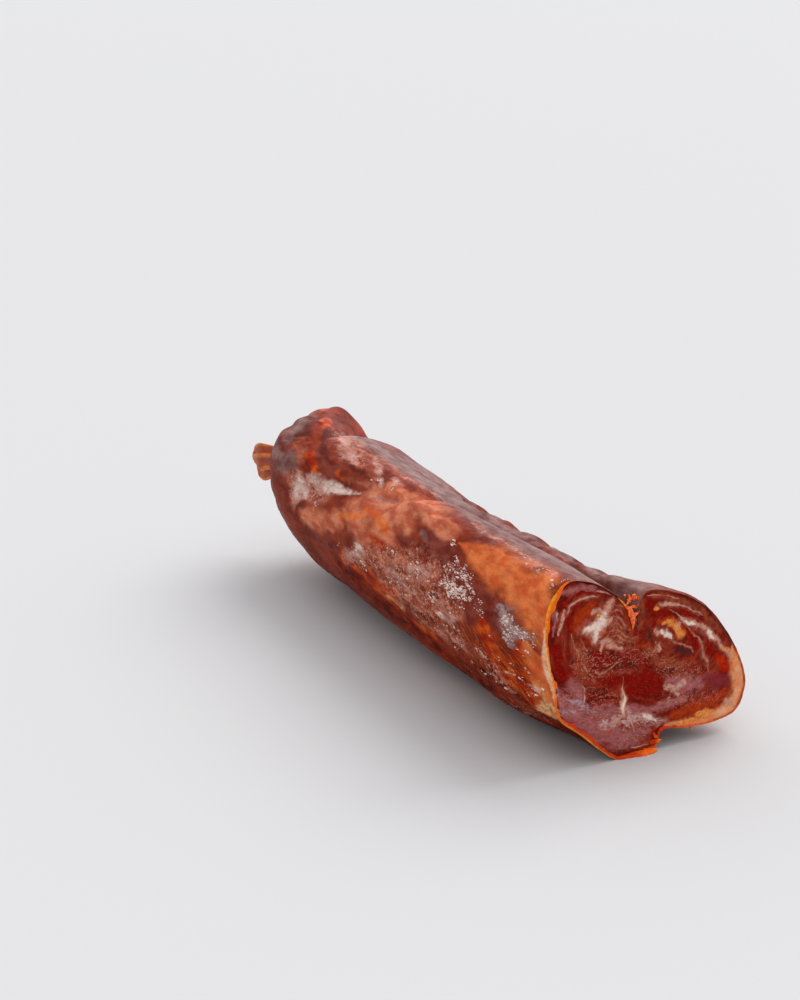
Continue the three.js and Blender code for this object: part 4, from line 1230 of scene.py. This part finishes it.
def through(values, share):
    """Smooth curve through a few values: a cubic with the slope of its neighbours at each one."""
    values = np.asarray(values, float)
    spot = np.clip(share, 0, 1) * (len(values) - 1)
    step = np.minimum(spot.astype(int), len(values) - 2)
    part = (spot - step)[:, None] if values.ndim > 1 else spot - step
    padded = np.concatenate([2 * values[:1] - values[1:2], values, 2 * values[-1:] - values[-2:-1]])
    a, b, c, d = (padded[step + shift] for shift in range(4))
    square, cube = 2 * a - 5 * b + 4 * c - d, -a + 3 * b - 3 * c + d
    return b + 0.5 * ((c - a) * part + square * part**2 + cube * part**3)


def unit(vectors):
    """Vectors made one long."""
    return vectors / np.linalg.norm(vectors, axis=-1)[..., None]


def leaf_rings(path, facing):
    """A strand or scrap: a flattened section carried along a smooth path, with torn edges. Its flat
    side looks the way given by facing."""
    line = through(path, np.linspace(0, 1, LEAF_ROWS))
    middle = line[:, :3]
    half_width = np.maximum(line[:, 3], LEAF_LEAST_WIDTH)[:, None]
    half_thickness = np.maximum(line[:, 4], LEAF_LEAST_THICKNESS)[:, None]
    ahead = np.gradient(middle, axis=0)
    side = unit(np.cross(ahead, facing))
    out = unit(np.cross(side, ahead))
    angle = np.linspace(0, 2 * np.pi, LEAF_SIDES, endpoint=False)[None, :]
    torn = 1 + LEAF_TEARS * grain(middle, LEAF_TEAR_SIZE)[:, None] * np.cos(angle)
    across = half_width * torn * np.cos(angle)
    lift = half_thickness * np.sin(angle)
    rings = middle[:, None] + across[..., None] * side[:, None] + lift[..., None] * out[:, None]
    rings[..., 2] = np.maximum(rings[..., 2], 0)
    return rings


for number, (path, facing) in enumerate(SCRAPS, 1):
    along = np.linspace(0, 1, LEAF_ROWS)[:, None] + np.zeros(LEAF_SIDES)
    scrap_masks = {
        "orange": np.ones_like(along),
        "red": 1 - ease(0.25, 0.7, along),
        "tan": 0.6 * ease(0.6, 1, along),
    }
    finish_piece(add_piece(f"casing_scrap_{number}", leaf_rings(path, facing), scrap_masks), edge_finish)


# The tail of the casing
# Where the casing was gathered and tied it sticks out of the closed end as a dry, crumpled stub,
# waisted and flared, with a large upper knob and a small lower one. It is thin and orange-brown.

TAIL_PATH = [(-7, 186, 33.4), (-14.6, 196.3, 35), (-20, 204.5, 35.6), (-23.5, 212, 35.2)]
TAIL_HEIGHT = [4.2, 4, 6.4, 8.2]
TAIL_THICKNESS = [4, 3.2, 2.6, 2]
TAIL_PLEATS = 7
TAIL_SIDES = 80
TAIL_ROWS = 52
TAIL_ROUND_FROM = 0.8
TAIL_DROOP = np.array([-0.8, 1.0, -1.6])
TAIL_PLEAT_DEPTHS = (0.06, 0.28)
TAIL_NOTCH = 3.2
TAIL_LOWER_ROUND = 1.6
TAIL_UPPER_ROUND = 1.2
TAIL_CRUMPLE = 0.5
TAIL_CRUMPLE_SIZE = 2.4

tail_share = np.linspace(0, 1, TAIL_ROWS)
tail_flare = tail_share[:, None]
tail_turn = np.linspace(0, 2 * np.pi, TAIL_SIDES, endpoint=False)[None, :]
tail_cos, tail_sin = np.cos(tail_turn), np.sin(tail_turn)
tail_middle = through(TAIL_PATH, tail_share) + TAIL_DROOP * tail_flare**2
tail_ahead = unit(np.gradient(tail_middle, axis=0))
tail_across = unit(np.stack([tail_ahead[:, 1], -tail_ahead[:, 0], 0 * tail_share], -1))
tail_up = np.cross(tail_across, tail_ahead)
# Pleats wander round the tail and deepen towards its end, which is rounded off and drawn back
# between and round its two knobs.
tail_wave = np.cos(TAIL_PLEATS * tail_turn + 0.6 + 1.4 * np.sin(4 * tail_flare) + 0.8 * np.sin(2 * tail_turn))
tail_pleat = 1 - mix(*TAIL_PLEAT_DEPTHS, tail_flare) * (1 - tail_wave)
tail_over = np.clip((tail_flare - TAIL_ROUND_FROM) / (1 - TAIL_ROUND_FROM), 0, 0.98)
tail_rounding = np.sqrt(1 - tail_over**2)
tail_sideways = through(TAIL_THICKNESS, tail_share)[:, None] * tail_pleat * tail_cos * tail_rounding
tail_upward = through(TAIL_HEIGHT, tail_share)[:, None] * (0.4 + 0.6 * tail_pleat) * tail_sin
tail_upward = tail_upward * mix(1, tail_rounding, 0.45)
tail_back = TAIL_NOTCH * bell(tail_sin + 0.42, 0.2) + TAIL_LOWER_ROUND * ease(-0.3, -0.9, tail_sin)
tail_back = (tail_back + TAIL_UPPER_ROUND * ease(0.6, 1, tail_sin)) * tail_flare**2
tail_rings = tail_middle[:, None] + tail_sideways[..., None] * tail_across[:, None]
tail_rings = tail_rings + tail_upward[..., None] * tail_up[:, None]
tail_rings = tail_rings - tail_back[..., None] * tail_ahead[:, None]
tail_crumple = TAIL_CRUMPLE * tail_flare * grain(tail_rings, TAIL_CRUMPLE_SIZE)
tail_rings = tail_rings + tail_crumple[..., None] * tail_across[:, None]
tail_masks = {
    "crest": ease(0.1, 0.9, tail_wave) * ease(0.1, 0.5, tail_flare),
    "tip": ease(0.75, 1, tail_flare) + 0 * tail_turn,
}


def dry_tail_finish():
    """Dry gathered casing: orange-brown, paler on the crests of its pleats and at its torn end."""
    material, tree, shader = new_finish("dry_tail")
    wisps = noise_of(tree, 1.6, 3.0, 0.65)
    colour = paint_layers(tree, dye(tree, srgb(168, 66, 16), 3.0, 0.6), [
        ("crest", srgb(224, 118, 34), wisps, 0.75, 1.6),
        ("tip", srgb(206, 124, 66), wisps, 0.5, 1.8),
    ])
    set_surface(tree, shader, dye(tree, colour, 2.0, 0.35), remap(tree, wisps, 0.3, 0.7, 0.4, 0.6))
    set_bump(tree, shader, wisps, 0.6, 0.3)
    return material


finish_piece(add_piece("casing_tail", tail_rings, tail_masks), dry_tail_finish())


# Paprika in the fold
# Seasoning fat is caught where the fold opens at the cut: a few bright orange strands that stick to
# both muscles, and crumbs that lie on the casing beside them.

# Strands as paths of (x, distance, z, half width, half thickness), and crumbs as (x, distance, z, radius).
PAPRIKA_STRANDS = [
    [(-10.1, 0.2, 48.2, 0.1, 0.1), (-8.8, 0.1, 46.9, 0.25, 0.18), (-7.4, 0, 45.4, 0.4, 0.24),
     (-6.4, -0.1, 44, 0.7, 0.3), (-5.6, -0.2, 42.4, 0.95, 0.3), (-5.1, -0.2, 40.8, 0.75, 0.28),
     (-4.9, -0.1, 39.4, 0.4, 0.22), (-4.9, 0.1, 38, 0.1, 0.1)],
    [(-5.2, 0, 42.6, 0.3, 0.2), (-4.2, -0.1, 42.4, 0.45, 0.2), (-3.2, 0, 42.7, 0.35, 0.18),
     (-2.6, 0.2, 43.2, 0.1, 0.1)],
    [(-6, 0.2, 44.4, 0.25, 0.16), (-4.8, 0.4, 44.7, 0.4, 0.16), (-3.6, 0.6, 44.2, 0.35, 0.16),
     (-2.9, 0.7, 44.8, 0.1, 0.1)],
    [(-5.4, 0.8, 46.4, 0.2, 0.14), (-4.4, 0.9, 47.4, 0.5, 0.2), (-3.6, 1, 46.9, 0.55, 0.22),
     (-2.8, 1, 46.3, 0.35, 0.18), (-2.2, 1.1, 46.8, 0.1, 0.1)],
    [(-6.8, 0.6, 45.4, 0.2, 0.14), (-6, 0.7, 46.4, 0.4, 0.2), (-5.8, 0.8, 47.4, 0.3, 0.16),
     (-6.2, 0.9, 48.2, 0.1, 0.1)],
    [(-4.2, 0.2, 41.6, 0.2, 0.14), (-3.9, 0.2, 40.4, 0.4, 0.18), (-4.1, 0.2, 39.2, 0.1, 0.1)],
]
STRAND_FACING = (0, -1, 0.1)
PAPRIKA_CRUMBS = [
    (-3.6, 0.7, 47, 0.34), (-2.8, 0.8, 46.4, 0.3), (-7.3, 1, 48, 0.34), (-4.6, 0.5, 46.6, 0.26),
    (-3.2, 0.2, 45, 0.2), (-4.4, 0, 42.6, 0.18), (-6.6, 1.6, 47.4, 0.2), (-5.6, 0.6, 46, 0.22),
    (-2.4, 1.4, 46.9, 0.2), (-5.2, 2.4, 46, 0.24), (-4.6, -0.1, 39.4, 0.2),
]
CRUMB_FACING = (0.1, -0.8, 0.6)

# A lump is three rings, each with its reach and its lift in radii, between a foot and a top.
LUMP_SIDES = 6
LUMP_REACH = np.array([1.0, 0.95, 0.55])
LUMP_LIFT = np.array([-0.25, 0.3, 0.62])
LUMP_POLES = np.array([-0.3, 0.75])
LUMP_UNEVENNESS = 0.35


def paprika_finish():
    """Paprika fat: saturated orange, redder and yellower in patches, and wet."""
    material, tree, shader = new_finish("paprika_fat")
    wisps = noise_of(tree, 0.9, 2.0, 0.6)
    colour = paint_over(tree, srgb(240, 66, 2), srgb(255, 160, 34), remap(tree, wisps, 0.45, 0.67))
    set_surface(tree, shader, dye(tree, colour, 1.5, 0.2), remap(tree, wisps, 0.3, 0.7, 0.2, 0.4))
    return material


def add_lumps(name, bases, outs, radii, draw, ways, drawn=1.0, masks=None):
    """Many small lumps in one mesh. Each is a low dome on its base: an ankle ring that is sunk in, a
    belly ring and a shoulder ring, with a foot below and a top above, all a little uneven. They are
    drawn out along the ways given."""
    count, rings = len(bases), len(LUMP_REACH)
    outs = unit(outs)
    second = unit(np.cross(outs, ways))
    first = np.cross(second, outs) * drawn
    spin = np.linspace(0, 2 * np.pi, LUMP_SIDES, endpoint=False)
    uneven = 1 + draw.uniform(-LUMP_UNEVENNESS, LUMP_UNEVENNESS, (count, 1, LUMP_SIDES))
    reach = radii[:, None, None] * LUMP_REACH[None, :, None] * uneven
    lift = (radii[:, None] * LUMP_LIFT)[:, :, None, None] * outs[:, None, None]
    round_first = (reach * np.cos(spin))[..., None] * first[:, None, None]
    round_second = (reach * np.sin(spin))[..., None] * second[:, None, None]
    belts = (bases[:, None, None] + round_first + round_second + lift).reshape(count, -1, 3)
    poles = bases[:, None] + (radii[:, None] * LUMP_POLES)[..., None] * outs[:, None]
    points = np.concatenate([belts, poles], 1)
    corner = np.arange(LUMP_SIDES)
    after = (corner + 1) % LUMP_SIDES
    low = (np.arange(rings - 1) * LUMP_SIDES)[:, None]
    high = low + LUMP_SIDES
    foot = rings * LUMP_SIDES
    crown = foot - LUMP_SIDES
    walls = np.stack([low + corner, low + after, high + after, high + corner], -1).reshape(-1, 4)
    feet = np.stack([np.full(LUMP_SIDES, foot), after, corner], -1)
    tops = np.stack([np.full(LUMP_SIDES, foot + 1), crown + corner, crown + after], -1)
    starts = (np.arange(count) * (foot + 2))[:, None, None]
    faces = [(starts + part).reshape(-1, part.shape[1]).tolist() for part in (walls, feet, tops)]
    spread = {label: np.repeat(values, foot + 2) for label, values in (masks or {}).items()}
    return link_piece(name, points.reshape(-1, 3), sum(faces, []), spread)


paprika_fat = paprika_finish()
for number, path in enumerate(PAPRIKA_STRANDS, 1):
    finish_piece(add_piece(f"paprika_strand_{number}", leaf_rings(path, STRAND_FACING)), paprika_fat)
crumbs = np.array(PAPRIKA_CRUMBS)
crumb_outs = np.broadcast_to(CRUMB_FACING, (len(crumbs), 3))
crumb_ways = np.random.default_rng(4).normal(0, 1, crumb_outs.shape)
crumb_draw = np.random.default_rng(3)
paprika_crumbs = add_lumps("paprika_crumbs", crumbs[:, :3], crumb_outs, crumbs[:, 3], crumb_draw, crumb_ways)
finish_piece(paprika_crumbs, paprika_fat)


# Bloom on the casing
# Dried salt and harmless white mould stand on the skin as small pale grains in clumps, thickest on
# the left flank. They are mesh at true size, joined into one piece.

GRAINS_PER_CLUMP = 7
CLUMP_SPREAD = 0.42
GRAIN_RADIUS = 0.12
GRAIN_RADIUS_SPREAD = 0.55
GRAIN_RADIUS_RANGE = (0.05, 0.36)
GRAIN_DRAWN_OUT = 2.1
GRAIN_RANGE = (1.0, 190.0)
BRIGHT_SPREAD = 0.26
NUDGE = 0.25
# Clusters as (degrees, distance, spread round, spread along, how many, how bright).
GRAIN_CLUSTERS = [
    (160, 45.5, 1, 5, 430, 0.7), (151, 46, 0.9, 4.4, 190, 0.6), (155, 37, 0.6, 2.6, 30, 0.6),
    (165, 62, 3.2, 6, 90, 0.4), (172, 82, 3.4, 6, 60, 0.35), (177, 58, 3, 9, 90, 0.45),
    (158.5, 85, 0.5, 1.6, 20, 0.6), (167, 75, 4, 6, 60, 0.35), (140.5, 55, 0.4, 1.2, 16, 0.55),
    (182, 45, 3, 8, 60, 0.4), (190, 28, 3.4, 8, 110, 0.35), (190, 11, 1.6, 3, 40, 0.7),
    (186, 16, 1.6, 3, 40, 0.5), (159, 20, 1, 1.6, 60, 0.5), (163, 18, 1.4, 1.6, 90, 0.55),
    (168, 17, 1.2, 1.4, 60, 0.5), (161, 10, 0.8, 3, 80, 0.6), (168, 10, 0.4, 0.6, 10, 0.9),
    (132, 8, 1.2, 6, 40, 0.35), (163, 33, 0.7, 1.2, 24, 0.45), (152, 144, 2.4, 6, 40, 0.4),
    (132, 115, 0.7, 2, 12, 0.5), (176, 110, 2.4, 6, 50, 0.4), (130, 107, 0.6, 1.4, 10, 0.5),
    (24, 50, 3.4, 9, 200, 0.38), (346, 82, 3.6, 10, 180, 0.36), (14, 118, 3.4, 9, 130, 0.34),
    (332, 150, 3, 8, 110, 0.34), (40, 158, 2.6, 6, 70, 0.34), (356, 24, 3.2, 8, 120, 0.36),
]

draw = np.random.default_rng(5)


def clumped(middle, spread, count, step):
    """Places round a middle, in clumps of a few grains."""
    clumps = middle + draw.normal(0, spread, -(-count // GRAINS_PER_CLUMP))
    return np.repeat(clumps, GRAINS_PER_CLUMP)[:count] + draw.normal(0, CLUMP_SPREAD, count) * step


grain_degrees = [clumped(a, w / DEGREE_ARC, n, 1 / DEGREE_ARC) for a, _, w, _, n, _ in GRAIN_CLUSTERS]
grain_degrees = np.concatenate(grain_degrees) % 360
grain_distance = [clumped(s, w, n, DRAWN_OUT) for _, s, _, w, n, _ in GRAIN_CLUSTERS]
grain_distance = np.clip(np.concatenate(grain_distance), *GRAIN_RANGE)
grain_radii = draw.lognormal(np.log(GRAIN_RADIUS), GRAIN_RADIUS_SPREAD, len(grain_degrees))
grain_radii = np.clip(grain_radii, *GRAIN_RADIUS_RANGE)
grain_bright = np.concatenate([np.full(n, bright) for *_, n, bright in GRAIN_CLUSTERS])
grain_bright = np.clip(grain_bright + draw.normal(0, BRIGHT_SPREAD, len(grain_bright)), 0, 1)
grain_bases = skin(grain_degrees, grain_distance)
grain_round = skin(grain_degrees + NUDGE, grain_distance) - skin(grain_degrees - NUDGE, grain_distance)
grain_along = skin(grain_degrees, grain_distance + NUDGE) - skin(grain_degrees, grain_distance - NUDGE)
grain_outs = np.cross(grain_along, grain_round)


def bloom_finish():
    """Dry bloom: chalky, pale pink-grey, a little darker in places."""
    material, tree, shader = new_finish("dry_bloom")
    patches = noise_of(tree, 4.0, 3.0)
    colour = paint_over(tree, srgb(170, 106, 88), srgb(252, 228, 216), mask_of(tree, "bright"))
    set_surface(tree, shader, dye(tree, colour, 1.2, 0.2), remap(tree, patches, 0.3, 0.7, 0.55, 0.75))
    return material


bloom_grains = add_lumps(
    "bloom_grains", grain_bases, grain_outs, grain_radii, draw, grain_along, GRAIN_DRAWN_OUT,
    {"bright": grain_bright},
)
finish_piece(bloom_grains, bloom_finish())


# Floor, light and camera
# A plain pale floor in a soft white room, one broad light from the right and above, and a camera a
# little above the cut end, on its left.

FLOOR_REACH = 40.0
FLOOR_COLOUR = srgb(204, 202, 200)
ROOM_COLOUR = srgb(246, 249, 255)
ROOM_LEVELS = (0.4, 1.2)
BACKDROP_COLOUR = srgb(233, 233, 235)
BACKDROP_LEVEL = 1.0
BRIGHT_WAY = (0.35, 0.45, 0.82)
LIGHT_HEADING = 75.0
LIGHT_RISE = 50.0
LIGHT_STRENGTH = 1.5
LIGHT_SPREAD = 45.0
CAMERA_HEADING = 28.0
CAMERA_DIP = 17.45
CAMERA_PLACE = (-275.4, -373.8, 218.7)
CAMERA_LENS = 64.8
CAMERA_SENSOR = 36.0

floor_mesh = bpy.data.meshes.new("floor")
floor_corners = [(x * FLOOR_REACH, y * FLOOR_REACH, 0.0) for x, y in ((-1, -1), (1, -1), (1, 1), (-1, 1))]
floor_mesh.from_pydata(floor_corners, [], [(0, 1, 2, 3)])
floor = bpy.data.objects.new("floor", floor_mesh)
bpy.context.scene.collection.objects.link(floor)
floor_finish, floor_tree, floor_shader = new_finish("pale_floor")
set_surface(floor_tree, floor_shader, FLOOR_COLOUR, 0.85)
floor_shader.inputs["Specular IOR Level"].default_value = 0.1
floor_mesh.materials.append(floor_finish)

# The room is brightest high up on the right, and its backdrop is as bright as the floor.
room = bpy.data.worlds.new("room")
room.use_nodes = True
room_tree = room.node_tree
room_way = add_node(room_tree, "TexCoord").outputs["Generated"]
room_ways = {0: room_way, 1: BRIGHT_WAY}
toward = add_node(room_tree, "VectorMath", room_ways, operation="DOT_PRODUCT").outputs["Value"]
seen = add_node(room_tree, "LightPath").outputs["Is Camera Ray"]
levels = {0: seen, 2: remap(room_tree, toward, -0.6, 0.9, *ROOM_LEVELS), 3: BACKDROP_LEVEL}
room_level = add_node(room_tree, "Mix", levels, data_type="FLOAT").outputs[0]
room_shader = room_tree.nodes["Background"]
feed(room_tree, room_shader.inputs["Strength"], room_level)
feed(room_tree, room_shader.inputs["Color"], paint_over(room_tree, ROOM_COLOUR, BACKDROP_COLOUR, seen))
bpy.context.scene.world = room

window = bpy.data.lights.new("window", "SUN")
window.energy = LIGHT_STRENGTH
window.angle = np.radians(LIGHT_SPREAD)
window_light = bpy.data.objects.new("window", window)
window_light.rotation_euler = (np.radians(90 - LIGHT_RISE), 0, np.radians(180 - LIGHT_HEADING))
bpy.context.scene.collection.objects.link(window_light)

camera_data = bpy.data.cameras.new("camera")
camera_data.lens = CAMERA_LENS
camera_data.sensor_width = CAMERA_SENSOR
camera = bpy.data.objects.new("camera", camera_data)
camera.location = in_metres(np.array(CAMERA_PLACE)).tolist()
camera.rotation_euler = (np.radians(90 - CAMERA_DIP), 0, -np.radians(CAMERA_HEADING))
bpy.context.scene.collection.objects.link(camera)
bpy.context.scene.camera = camera
bpy.context.scene.view_settings.view_transform = "Standard"
